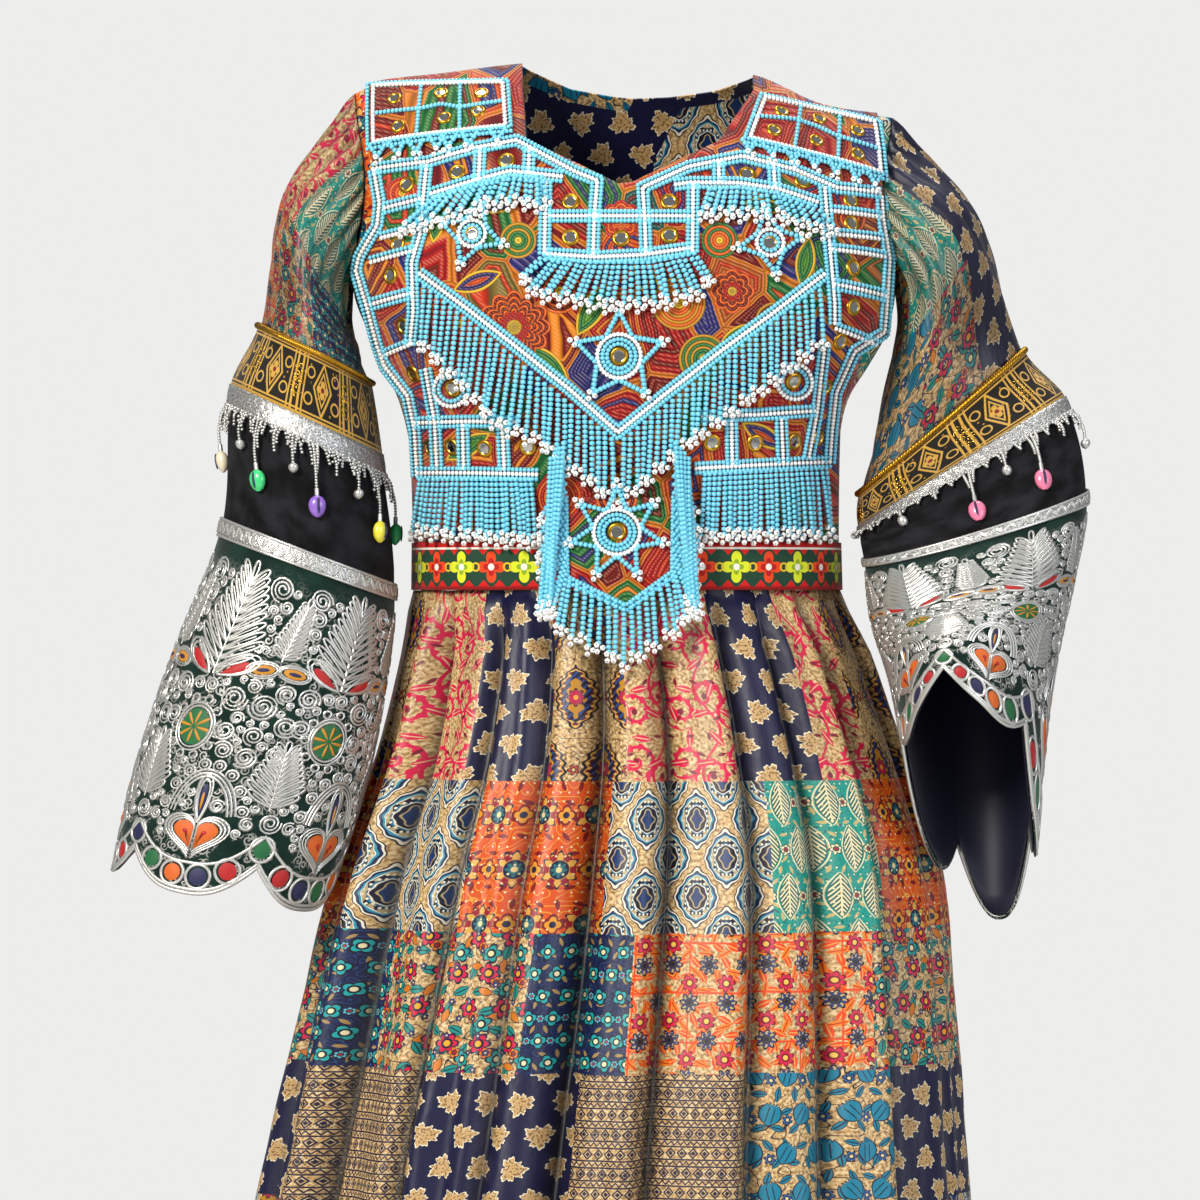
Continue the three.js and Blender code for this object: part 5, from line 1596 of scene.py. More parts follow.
def build_sleeve(side):
    sleeve = Sleeve(side)
    inwards = side == "right"
    grid, uv = sleeve_part(sleeve, 0, CORD_AT, UPPER_ROWS, 0, crease=upper_creases)
    slots = sleeve_patches(
        side, np.arange(SLEEVE_TURNS) * 360 / SLEEVE_TURNS,
        np.linspace(2, CORD_AT - 2, UPPER_ROWS - 1),
    )
    upper = sheet_mesh(f"sleeve_{side}_upper_cloth", grid, uv, PRINTS, True, slots=slots, flip=inwards)
    turn, at = np.meshgrid(
        np.linspace(0, 360, SLEEVE_TURNS, endpoint=False), np.linspace(0, CORD_AT, UPPER_ROWS),
    )
    # Painted shade over the whole upper sleeve, darker in the valleys of its creases
    shade_folds(upper, np.clip(0.42 - upper_creases(turn, at) * 0.09, 0.2, 0.85))
    cloth(upper, [f"sleeve_{side}_upper"], 0.42, 0.26, 1.1)

    for row in SLEEVE_PARTS:
        grid, uv = sleeve_part(
            sleeve, row["start"], row["end"], row["rows"], row["lift"], row["hem"], row["crease"],
        )
        uv[..., 1] -= row["from_at"]
        name = f"sleeve_{side}_{row['part']}"
        made = sheet_mesh(
            f"{name}_cloth", grid, uv, [row["material"]], True, thick=row["thick"], flip=inwards,
        )
        cloth(made, [name], row["width"], row["length"])
    return sleeve


sleeves = {side: build_sleeve(side) for side in ("left", "right")}


# Beadwork on the embroidered panel. Its lines are given by pixel of the photograph.

# Triple lines are a white row between two blue ones, double lines a white row beside a blue one.
BEAD_LINES = named_rows("kind path", [
    (
        "triple",
        [(379, 176), (432, 172), (474, 160), (518, 152), (575, 184), (597, 193), (594, 229), (593, 264)],
    ),
    (
        "triple",
        [(644, 262), (643, 230), (641, 200), (686, 179), (738, 168), (791, 181), (830, 197), (872, 199)],
    ),
    (
        "triple",
        [
            (380, 178), (386, 210), (384, 233), (366, 262), (363, 275), (374, 310), (384, 348),
            (391, 367), (414, 397), (421, 432), (423, 476),
        ],
    ),
    (
        "triple",
        [(874, 203), (875, 225), (881, 264), (876, 334), (846, 354), (828, 394), (824, 432), (822, 463)],
    ),
    ("triple", [(431, 176), (428, 214), (426, 243), (418, 271), (420, 317), (417, 348)]),
    ("triple", [(432, 373), (441, 424), (443, 470)]),
    ("triple", [(818, 198), (820, 233), (826, 310), (826, 329)]),
    ("triple", [(816, 350), (809, 413), (801, 459)]),
    ("triple", [(436, 204), (474, 193), (512, 183), (562, 189)]),
    ("triple", [(673, 197), (688, 195), (734, 195), (772, 200), (810, 212)]),
    ("triple", [(483, 160), (482, 190)]),
    ("triple", [(531, 160), (530, 184)]),
    ("triple", [(715, 175), (715, 194)]),
    ("triple", [(768, 176), (769, 198)]),
    ("triple", [(547, 195), (546, 264)]),
    ("triple", [(690, 197), (689, 262)]),
    ("triple", [(551, 228), (689, 228)]),
    ("triple", [(549, 265), (596, 268), (640, 266), (688, 259)]),
    ("triple", [(391, 216), (425, 209)]),
    ("double", [(388, 243), (424, 236)]),
    ("double", [(378, 266), (420, 257)]),
    ("triple", [(378, 308), (418, 300)]),
    ("double", [(390, 355), (418, 346)]),
    ("double", [(824, 218), (872, 221)]),
    ("double", [(824, 241), (874, 243)]),
    ("double", [(824, 256), (876, 260)]),
    ("triple", [(826, 292), (876, 300)]),
    ("double", [(828, 332), (868, 344)]),
    (
        "triple",
        [
            (426, 282), (474, 318), (522, 356), (570, 394), (617, 436), (664, 398), (716, 358),
            (768, 320), (816, 283),
        ],
    ),
    ("triple", [(422, 424), (470, 424), (520, 425)]),
    ("triple", [(424, 474), (480, 475), (539, 477)]),
    ("triple", [(468, 428), (469, 470)]),
    ("triple", [(506, 428), (508, 471)]),
    ("triple", [(698, 420), (750, 418), (806, 413)]),
    ("triple", [(692, 471), (756, 467), (822, 463)]),
    ("triple", [(726, 424), (727, 466)]),
    ("triple", [(774, 422), (776, 464)]),
])
PATCH_FRAMES = [
    # Corners of the shoulder patches, their dividers and the line across, by pixel
    dict(
        side="left",
        corners=[(371, 91), (509, 91), (513, 140), (375, 152)],
        dividers=[[(423, 96), (421, 146)], [(462, 95), (463, 143)]],
        across=[(382, 121), (425, 119), (444, 115), (462, 119), (505, 113)],
        mirrors=[(397, 106), (443, 102), (483, 103), (402, 135), (447, 128), (480, 122)],
        fringe=[(384, 155), (402, 154), (420, 153), (441, 150), (453, 149), (473, 147), (500, 144)],
    ),
    dict(
        side="right",
        corners=[(757, 105), (875, 128), (877, 182), (740, 151)],
        dividers=[[(796, 113), (788, 159)], [(836, 122), (831, 169)]],
        across=[(750, 128), (790, 130), (812, 137), (832, 146), (872, 156)],
        mirrors=[(777, 121), (815, 127), (853, 138), (769, 141), (811, 150), (852, 162)],
        fringe=[(745, 154), (765, 158), (786, 163), (808, 168), (830, 173), (850, 178), (867, 182)],
    ),
]
MIRRORS = [
    (411, 193), (460, 182), (508, 171), (743, 185), (797, 190), (845, 208), (403, 252), (396, 282),
    (409, 331), (418, 377), (845, 231), (846, 275), (846, 313), (833, 346), (819, 390), (571, 213),
    (667, 213), (571, 248), (620, 249), (667, 246), (434, 449), (456, 449), (488, 451), (530, 450),
    (708, 446), (750, 446), (788, 444), (812, 440),
]
STARS = named_rows("x y ring reach points turn on", [
    (618, 363, 21, 43, 5, 90, "panel"), (616, 534, 22, 44, 7, 90, "tab"),
    (476, 244, 13, 30, 4, 70, "panel"), (764, 253, 13, 30, 4, 100, "panel"),
    (457, 392, 17, 0, 0, 0, "panel"), (787, 385, 17, 0, 0, 0, "panel"),
])
# Fringes hang from a line down to a line of tips, both by millimetre from the origin
FRINGES = named_rows("name strands top tips", [
    (
        "chevron_left", 29, [(-154, -152), (-8, -272)],
        [(-154, -194), (-96, -257), (-60, -274), (-8, -318)],
    ),
    ("chevron_right", 29, [(0, -272), (152, -152)], [(0, -318), (48, -274), (92, -240), (152, -194)]),
    (
        "centre", 27, [(-62, -130), (-30, -136), (20, -136), (56, -129)],
        [(-78, -146), (-66, -160), (-20, -168), (20, -168), (58, -160), (66, -148)],
    ),
    (
        "arch_left", 22, [(-148, -84), (-118, -74), (-88, -67), (-62, -69)],
        [(-170, -108), (-118, -96), (-92, -88), (-60, -92)],
    ),
    (
        "arch_right", 20, [(66, -79), (92, -77), (120, -81), (150, -91)],
        [(60, -98), (92, -98), (120, -100), (160, -112)],
    ),
    ("waist_left", 24, [(-158, -302), (-70, -303)], [(-160, -342), (-66, -350)]),
    ("waist_right", 25, [(62, -299), (158, -293)], [(60, -346), (160, -344)]),
])
STRAND_BEAD = 4.5
BEAD_LONG = 0.78
CLUSTER_BEAD = 4.7
STRAND_OUT = 5.2


def spaced(line, step):
    """Points at even steps along a line of (x, z) points."""
    line = np.asarray(line, float)
    lengths = np.concatenate([[0], np.cumsum(np.linalg.norm(np.diff(line, axis=0), axis=1))])
    count = max(int(round(lengths[-1] / step)), 1)
    at = np.linspace(0, lengths[-1], count + 1)
    return np.stack([np.interp(at, lengths, line[:, k]) for k in range(line.shape[1])], -1)


def beside(line, distance):
    """The line moved sideways, with its corners kept."""
    line = np.asarray(line, float)
    along = unit(np.diff(line, axis=0))
    side = np.stack([-along[:, 1], along[:, 0]], -1)
    corner = np.concatenate([side[:1], side[:-1] + side[1:], side[-1:]])
    corner = unit(corner)
    full = np.concatenate([side[:1], side])
    stretch = 1 / np.maximum((corner * full).sum(-1, keepdims=True), 0.5)
    return line + corner * stretch * distance


def tab_point(x, z, lift=0.0):
    """The hanging tab's face: it swings forward of the panel below its top edge."""
    held = np.maximum(z, WAIST_Z + 2.0)
    point, normal = front_point(x, held, TAB_LIFT + 2.0 + np.asarray(lift, float))
    point[..., 2] = z
    point[..., 1] -= np.maximum(TAB_TOP_Z - z, 0) * TAB_SWING
    return point, normal


BEAD_COLOURS = {"blue": BLUE_BEAD, "white": WHITE_BEAD}


class Beads:
    """Beads gathered for one mesh: blue and white ones."""

    def __init__(self):
        self.groups = {colour: ([], [], []) for colour in BEAD_COLOURS}

    def add(self, colour, points, tangents, size):
        points = np.asarray(points, float).reshape(-1, 3)
        group = self.groups[colour]
        group[0].append(points)
        group[1].append(np.broadcast_to(np.asarray(tangents, float), points.shape))
        group[2].append(np.full(len(points), float(size)))

    def row(self, colour, line, place, lift=0.0, size=BEAD):
        """A row of beads along a line of (x, z) points."""
        flat = spaced(line, size * BEAD_LONG)
        points, _ = place(flat[:, 0], flat[:, 1], lift + size * 0.42)
        tangents = unit(np.gradient(points, axis=0)) if len(points) > 1 else [[1, 0, 0]]
        self.add(colour, points, tangents, size)

    def line(self, kind, line, place, lift=0.0):
        gap = BEAD * 0.94
        rows = {
            "triple": ((-gap, "blue"), (0, "white"), (gap, "blue")),
            "double": ((-gap / 2, "white"), (gap / 2, "blue")),
        }[kind]
        for distance, colour in rows:
            self.row(colour, beside(line, distance), place, lift)

    def cluster(self, end, spin):
        """Three white beads at the end of a strand."""
        for k in range(3):
            turn = spin + k * 2 * math.pi / 3
            reach = CLUSTER_BEAD * 0.62
            away = np.array([math.cos(turn) * reach, -1.1, math.sin(turn) * reach])
            facing = np.array([0.35 * math.cos(turn), -1.0, 0.35 * math.sin(turn)])
            self.add("white", end + away, unit(facing), CLUSTER_BEAD)

    def strand(self, start, end, bow, spin):
        """A strung strand from start to end that bows forward, with its cluster."""
        length = np.linalg.norm(end - start)
        count = max(int(length / (STRAND_BEAD * BEAD_LONG)), 2)
        t = np.linspace(0, 1, count)[:, None]
        sway = np.array([0.6 * math.sin(spin * 3), 0, 0]) * np.sin(math.pi * t * 1.5)
        path = start + (end - start) * t + np.array([0, -bow, 0]) * np.sin(math.pi * t) + sway
        self.add("blue", path, unit(np.gradient(path, axis=0)), STRAND_BEAD)
        self.cluster(end + np.array([0, 0, -STRAND_BEAD * 0.9]), spin)

    def make(self, name):
        used = [colour for colour in BEAD_COLOURS if self.groups[colour][0]]
        groups = [tuple(np.concatenate(part) for part in self.groups[colour]) for colour in used]
        return bead_mesh(name, groups, [BEAD_COLOURS[colour] for colour in used])


def ring_line(x, z, radius, count=40):
    turn = np.linspace(0, 2 * math.pi, count + 1)
    return np.stack([x + radius * np.cos(turn), z + radius * np.sin(turn)], -1)


def star_beads(beads, star, place):
    x, z = to_mm([(star["x"], star["y"])])[0]
    ring = star["ring"] * PIXEL
    beads.row("white", ring_line(x, z, ring), place)
    beads.row("blue", ring_line(x, z, ring - BEAD), place)
    if ring > 15:
        beads.row("blue", ring_line(x, z, ring - 2 * BEAD + 0.4), place)
    reach = star["reach"] * PIXEL
    for k in range(star["points"]):
        turn = math.radians(star["turn"]) + 2 * math.pi * k / star["points"]
        spread = math.pi / star["points"] * 0.82
        tip = (x + reach * math.cos(turn), z + reach * math.sin(turn))
        for way in (-1, 1):
            foot = turn + way * spread
            start = (x + (ring + 2.4) * math.cos(foot), z + (ring + 2.4) * math.sin(foot))
            beads.row("blue", [start, tip], place, 0.2, STRAND_BEAD)
        end, _ = place(np.array([tip[0]]), np.array([tip[1]]), 2.2)
        beads.cluster(end[0] + np.array([2.4 * math.cos(turn), 0, 2.4 * math.sin(turn)]), turn)


def fringe_beads(beads, fringe, place, clear=0.0):
    top = np.asarray(fringe["top"], float)
    tips = np.asarray(fringe["tips"], float)
    starts = spaced(top, 0.5)
    starts = starts[np.linspace(2, len(starts) - 3, fringe["strands"]).astype(int)]
    ends = spaced(tips, 0.5)
    ends = ends[np.linspace(0, len(ends) - 1, fringe["strands"]).astype(int)]
    for i, (start, end) in enumerate(zip(starts, ends)):
        uneven = wave(i * 1.7, fringe["strands"])
        low = end + np.array([1.6 * uneven, (2.2 if i % 2 else -2.6) + 1.2 * uneven])
        a, _ = place(np.array([start[0]]), np.array([start[1] - 2.5]), 1.6 + clear)
        b, _ = place(np.array([low[0]]), np.array([low[1]]), STRAND_OUT - 1.4 + (i % 3) * 0.8 + clear)
        beads.strand(a[0], b[0], 1.6, i * 2.1)


def on_panel(x, z, lift=0.0):
    return front_point(x, z, YOKE_LIFT + np.asarray(lift, float))


PATCH_LIFT = YOKE_LIFT + 2.3


def on_patch(x, z, lift=0.0):
    return front_point(x, z, PATCH_LIFT + np.asarray(lift, float))


# A mirror's rings from its middle out: part 0 is the glass and part 1 the rim
DISC_PROFILE = named_rows("out up part", [
    (0.0, 0.5, 0), (0.55, 0.45, 0), (0.64, 0.4, 0), (0.66, 0.9, 1), (0.82, 1.3, 1), (1.0, 0.8, 1),
    (1.08, -0.4, 1),
])


def discs(name, centres, normals, radius, material, rim_material, sides=14):
    """Small round mirrors in raised rims, as one mesh of domed discs and rims."""
    normals = unit(normals)
    across = unit(np.cross(normals, (0.0, 0.2, 1.0)))
    spoke = spokes(across, np.cross(normals, across), sides)
    quads = faces_between(len(DISC_PROFILE), sides)
    numbers = np.repeat([row["part"] for row in DISC_PROFILE[1:]], sides)
    parts = []
    for i, centre in enumerate(centres):
        rings = [centre + spoke[i] * radius * row["out"] + normals[i] * row["up"] for row in DISC_PROFILE]
        parts.append((np.concatenate(rings), quads, numbers))
    return joined_mesh(name, parts, [material, rim_material])


panel_beads = Beads()
for line in BEAD_LINES:
    panel_beads.line(line["kind"], to_mm(line["path"]), on_panel)
for star in STARS:
    if star["on"] == "panel":
        star_beads(panel_beads, star, on_panel)
fit(panel_beads.make("yoke_beadwork"), [])

for fringe in FRINGES:
    strung = Beads()
    fringe_beads(strung, fringe, on_panel)
    fit(strung.make(f"fringe_{fringe['name']}_beads"), [f"fringe_{fringe['name']}"])

# Shoulder patches

for patch in PATCH_FRAMES:
    side = patch["side"]
    corners = to_mm(patch["corners"])
    steps = np.linspace(0, 1, 25)
    rows = np.linspace(0, 1, 13)
    top = corners[0] + (corners[1] - corners[0]) * steps[:, None]
    low = corners[3] + (corners[2] - corners[3]) * steps[:, None]
    flat = low[None] + (top - low)[None] * rows[:, None, None]
    grid, _ = on_patch(flat[..., 0], flat[..., 1])
    made = sheet_mesh(f"shoulder_patch_{side}_embroidery", grid, flat, [EMBROIDERY], thick=1.8)
    cloth(
        made, [f"shoulder_patch_{side}"], 0.13, 0.06,
    )
    strung = Beads()
    closed = np.concatenate([corners, corners[:1]])
    centre = corners.mean(0)
    for colour, inset in (("blue", 0.0), ("white", 0.075)):
        strung.row(colour, centre + (closed - centre) * (1 - inset), on_patch)
    strung.row("blue", closed[2:4] + np.array([0, -BEAD * 0.9]), on_patch)
    for divider in patch["dividers"]:
        strung.row("blue", to_mm(divider), on_patch)
    strung.row("blue", to_mm(patch["across"]), on_patch)
    for i, root in enumerate(to_mm(patch["fringe"])):
        start, _ = on_patch(root[0], root[1], 1.2)
        for way in (-1, 1):
            foot, _ = on_patch(root[0] + way * 5.5, root[1] + 1, 1.2)
            end, _ = on_panel(root[0] + 1.5 * math.sin(i), root[1] - 7.5, 3.2)
            path = foot + (end - foot) * np.linspace(0, 1, 4)[:, None]
            strung.add("blue", path, unit(end - foot), STRAND_BEAD)
        strung.cluster(end + np.array([0, 0, -3.0]), i * 1.3)
    fit(strung.make(f"shoulder_patch_{side}_beads"), [])

mirror_spots = to_mm(MIRRORS)
spots, facing = on_panel(mirror_spots[:, 0], mirror_spots[:, 1], 0.2)
discs("yoke_mirrors", spots, facing, 6.8, MIRROR, GOLD_METAL)
patch_spots = np.concatenate([to_mm(patch["mirrors"]) for patch in PATCH_FRAMES])
spots, facing = on_patch(patch_spots[:, 0], patch_spots[:, 1], 0.2)
discs("patch_mirrors", spots, facing, 6.0, MIRROR, GOLD_METAL)
star_spots = to_mm([(star["x"], star["y"]) for star in STARS if star["on"] == "panel"])
spots, facing = on_panel(star_spots[:, 0], star_spots[:, 1], 0.4)
discs("star_mirrors", spots, facing, 7.0, MIRROR, GOLD_METAL)

# The pointed tab and its fringe

TAB_EDGE = [(-43, -320), (-42, -382), (2, -404), (37, -378), (38, -320)]
tab_across = np.linspace(0, 1, 33)
tab_x = -42 + 79 * tab_across
tab_low = np.interp(tab_x, [-42, -20, 2, 20, 37], [-382, -393, -404, -393, -378])
tab_z = TAB_TOP_Z + (tab_low - TAB_TOP_Z)[None] * np.linspace(1, 0, 25)[:, None]
tab_flat = np.stack([np.broadcast_to(tab_x, tab_z.shape), tab_z], -1)
tab_grid, _ = tab_point(tab_flat[..., 0], tab_flat[..., 1])
tab = sheet_mesh("yoke_tab_embroidery", tab_grid, tab_flat, [EMBROIDERY], thick=1.8)
cloth(tab, ["yoke_tab"], 0.082, 0.086)

tab_beads = Beads()
star_beads(tab_beads, STARS[1], tab_point)
for distance in (0, -BEAD):
    tab_beads.row("blue", beside(TAB_EDGE, distance), tab_point)
fringe_beads(
    tab_beads,
    dict(
        strands=40,
        top=[(-44, -300), (-44, -345), (-43, -382), (2, -402), (38, -379), (39, -345), (39, -300)],
        tips=[
            (-60, -330), (-62, -372), (-56, -404), (-44, -422), (2, -446), (40, -420), (52, -400),
            (56, -366), (54, -330),
        ],
    ),
    tab_point,
    0.6,
)
for way, top_x in ((-1, -44), (1, 39)):
    for i in range(9):
        start, _ = tab_point(np.array([top_x + way * (1 + i % 4 * 3.2)]), np.array([-278.0 - i * 4]), 2.6)
        end, _ = tab_point(
            np.array([top_x + way * (9 + i * 1.1)]), np.array([-396.0 - (i % 3) * 6]),
            6.5 + (i % 2) * 2,
        )
        tab_beads.strand(start[0], end[0], 2.5, i * 1.9)
fit(tab_beads.make("fringe_tab_beads"), ["fringe_tab"])
spots, facing = tab_point(*to_mm([(STARS[1]["x"], STARS[1]["y"])]).T, 0.3)
discs("tab_mirror", spots, facing, 7.2, MIRROR, GOLD_METAL)


# Sleeve trims: cords, lace, braid, pendants and the silver couching of the bell

TWIST = 7.5
SLEEVE_STRANDS = {
    "left": named_rows("turn drop hangs", [
        (8, 34, "cream"), (26, 20, ""), (44, 22, "ball"), (58, 38, "green"), (72, 20, ""),
        (84, 24, "ball"), (98, 40, "violet"), (112, 20, ""), (128, 24, "ball"), (146, 40, "yellow"),
        (166, 20, ""), (190, 36, "green"), (215, 20, ""), (240, 24, "ball"), (265, 38, "cream"),
        (290, 20, ""), (315, 24, "ball"), (340, 20, ""),
    ]),
    "right": named_rows("turn drop hangs", [
        (10, 34, "ball"), (34, 20, ""), (54, 40, "pink"), (72, 22, "ball"), (90, 44, "pink"),
        (108, 20, ""), (128, 24, "ball"), (150, 22, ""), (175, 18, ""), (205, 20, "ball"),
        (235, 26, "cream"), (265, 20, ""), (295, 26, "pink"), (325, 20, ""),
    ]),
}
MOTIFS = SCALLOPS
MOTIF_WIDE = 98
CURLS_END = 234
COUCH = 1.45


def arc(u, v, radius, start, end, squash=1.0, lean=0.0):
    """An arc of an ellipse in the cloth's flat, in degrees, leaning by some degrees."""
    steps = max(int(abs(end - start) * radius / 130), 8)
    turn = np.radians(np.linspace(start, end, steps))
    x, y = radius * np.cos(turn) * squash, radius * np.sin(turn)
    c, s = math.cos(math.radians(lean)), math.sin(math.radians(lean))
    return np.stack([u + x * c - y * s, v + x * s + y * c], -1)


def spiral(u, v, radius, turns, start, way=1):
    steps = max(int(turns * 13), 10)
    t = np.linspace(0, 1, steps)
    turn = math.radians(start) + way * t * turns * 2 * math.pi
    reach = radius * (1 - 0.82 * t)
    return np.stack([u + reach * np.cos(turn), v + reach * np.sin(turn)], -1)


def teardrop(u, v, long, wide, lean):
    """A pointed loop from (u, v) that leans by some degrees from straight up the sleeve."""
    t = np.linspace(0, 2 * math.pi, 11 if long < 18 else 18)
    along = long * (1 - np.cos(t)) / 2
    across = wide / 2 * np.sin(t) * np.sin(t / 2) ** 0.8
    c, s = math.cos(math.radians(lean)), math.sin(math.radians(lean))
    return np.stack([u + across * c + along * s, v - along * c + across * s], -1)


def feather(u, v, long, wide, lean):
    """A leaf of paired loops along a stem."""
    c, s = math.cos(math.radians(lean)), math.sin(math.radians(lean))
    loops = [np.array([(u + long * share * s, v - long * share * c) for share in (0, 0.5, 0.9)])]
    pairs = 10
    for k in range(pairs):
        share = 0.06 + 0.84 * k / pairs
        foot = (u + long * share * s, v - long * share * c)
        size = wide * (0.62 - 0.38 * share) * (0.8 if k == 0 else 1)
        for way in (-1, 1):
            spread = way * (60 - 28 * share) + lean
            turn = math.radians(spread)
            tip = (foot[0] + size * 0.8 * math.sin(turn), foot[1] - size * 0.8 * math.cos(turn))
            loops.append(teardrop(*foot, size, 6.0, spread))
            loops.append(np.array([foot, tip]))
    loops.append(teardrop(u + long * 0.84 * s, v - long * 0.84 * c, long * 0.22, 5, lean))
    return loops


def couching():
    """The silver lines of one motif, by millimetre across from its middle and down from the bell's top."""
    lines = []
    lines += feather(-20, 86, 76, 62, 6)
    lines += feather(28, 70, 48, 26, 10)
    lines += feather(47, 188, 54, 45, 2)
    for u, v, radius, turns, start, way in (
        (2, 102, 10.5, 2.8, 0, 1),
        (24, 106, 11, 2.9, 180, -1),
        (43, 120, 9, 2.5, 40, 1),
        (-44, 96, 9, 2.5, 20, -1),
        (2, 128, 8.5, 2.4, 240, -1),
        (23, 130, 8, 2.3, 90, 1),
        (41, 144, 8.5, 2.4, 120, -1),
        (-45, 120, 8, 2.3, 60, 1),
    ):
        lines.append(spiral(u, v, radius, turns, start, way))
    for way in (-1, 1):
        lines.append(teardrop(-20 + way * 3, 86, 30, 13, way * 58 + 6))
        lines.append(teardrop(-20 + way * 3, 86, 34, 16, way * 58 + 6))
        lines.append(arc(28 + way * 11.5, 78, 4.8, 0, 360, 2.2, way * 8))
        lines.append(arc(28 + way * 11.5, 78, 6.4, 0, 360, 1.9, way * 8))
    for radius in (13.4, 15.6):
        lines.append(arc(-22, 128, radius * 1.22, 0, 360, 0.82))
    for k in range(10):
        turn = math.radians(k * 36)
        lines.append(arc(-22 + 18.4 * math.cos(turn), 128 + 23.4 * math.sin(turn), 3.2, 0, 360))
    for reach in (0, 2.8, 5.6):
        lines.append(arc(0, 204, 38 + reach, 192, 348, (20 + reach) / (38 + reach)))
    for k in range(8):
        turn = math.radians(197 + k * 21)
        lines.append(arc(30 * math.cos(turn), 204 + 48 * math.sin(turn), 4.4, 0, 360))
        lines.append(arc(30 * math.cos(turn), 204 + 48 * math.sin(turn), 2.0, 0, 360))
    for way in (-1, 1):
        for grow in (0, 2.6, 5.2):
            lines.append(heart_half(way, 17.4 + grow))
    lines += [teardrop(0, 202, 34, 9.5, 0), teardrop(0, 203, 39, 13.5, 0)]
    blocked = []
    for outline, _, _ in filled():
        blocked += [outline * share + outline.mean(0) * (1 - share) for share in (0.3, 0.65, 1)]
    return lines + curls_between(lines, blocked)


def heart_half(way, size):
    """One half of the heart that stands on each scallop."""
    t = np.linspace(0, math.pi, 22)
    rise = 13 * np.cos(t) - 5 * np.cos(2 * t) - 2 * np.cos(3 * t) - np.cos(4 * t)
    u = way * (1.0 + size * np.sin(t) ** 3)
    v = 212 - size / 16 * rise * 0.86
    return np.concatenate([np.stack([u, v], -1), [(u[0], v[0])]])


def curls_between(lines, blocked):
    """Spirals that fill the gaps a motif leaves, each as large as its gap."""
    taken = np.concatenate([spaced(line, 2.0) for line in lines + blocked])
    curls = []
    for least, most in ((7.5, 10.5), (5.2, 7.5), (3.2, 4.6)):
        step = least * 0.55
        for i, v in enumerate(np.arange(20, 232, step)):
            for j, u in enumerate(np.arange(-MOTIF_WIDE / 2, MOTIF_WIDE / 2, step)):
                off = np.abs(taken[:, 0] - u)
                off = np.minimum(off, MOTIF_WIDE - off)
                room = float(np.sqrt(off**2 + (taken[:, 1] - v) ** 2).min()) - 1.2
                wave_up = SCALLOP_DEPTH * (1 - math.cos(u / MOTIF_WIDE * 2 * math.pi)) / 2
                if room < least or v + room > CURLS_END - wave_up:
                    continue
                radius = min(room, most)
                way = 1 if (i + j) % 2 else -1
                curl = spiral(u, v, radius, 1.2 + radius * 0.16, 50 * (i + 3 * j), way)
                curls.append(curl)
                taken = np.concatenate([taken, curl])
    return curls


def filled():
    """The coloured patches of one motif: an outline, a thread and 1 where it lies on another patch."""
    patches = []
    for way in (-1, 1):
        patches.append((teardrop(-20 + way * 4, 87, 27, 9.5, way * 58 + 6), THREAD_RED, 0))
        patches.append((arc(28 + way * 11.5, 78, 3.9, 0, 360, 2.3, way * 8), THREAD_GOLD, 0))
        patches.append((arc(28 + way * 11.5, 78, 2.2, 0, 360, 3.1, way * 8), THREAD_NAVY, 1))
        patches.append((heart_half(way, 15.6), THREAD_ORANGE, 0))
        patches.append((heart_half(way, 12.6) * (0.4, 0.4) + (way * 4.2, 126.5), THREAD_RED, 1))
    patches.append((arc(-22, 128, 15.2, 0, 360, 0.8), THREAD_GREEN, 0))
    for k in range(8):
        patches.append((teardrop(-22, 128, 13.4, 3.6, k * 45 + 10), THREAD_GOLD, 1))
    patches.append((teardrop(0, 201, 30, 6.8, 0), THREAD_NAVY, 0))
    patches.append((teardrop(0, 196, 20, 3.4, 0), THREAD_GOLD, 1))
    return patches


HEM_CELLS = 5
THREAD_GOLD = plain("thread_gold", "#C4841A", roughness=0.55, sheen=0.05)


class Place:
    """Maps flat cloth coordinates of the bell to points on a sleeve."""

    def __init__(self, sleeve):
        self.sleeve = sleeve
        self.ats = np.linspace(BAND_END, HEM_AT, 14)
        self.girths = np.array([sleeve.girth(at) for at in self.ats])

    def on(self, middle, flat, lift):
        flat = np.asarray(flat, float)
        at = BELL_TOP_AT + flat[:, 1]
        girth = np.interp(at, self.ats, self.girths)
        turn = middle + flat[:, 0] * 360 / girth
        return self.sleeve.point(turn, at, lift)[0]


def domes(name, place, cells):
    """Low domes of thread.

    Each cell has its turn, its outline, its thread and the heights of its three rings.
    """
    threads = list(dict.fromkeys(thread for _, _, thread, _ in cells))
    parts = []
    for turn, outline, thread, heights in cells:
        sides = len(outline) - 1
        centre = outline.mean(0)
        flat = np.concatenate([centre + (outline[:-1] - centre) * share for share in (0.02, 0.6, 1.0)])
        points = place.on(turn, flat, np.repeat(heights, sides))
        parts.append((points, faces_between(3, sides), np.full(2 * sides, threads.index(thread))))
    return joined_mesh(name, parts, threads)


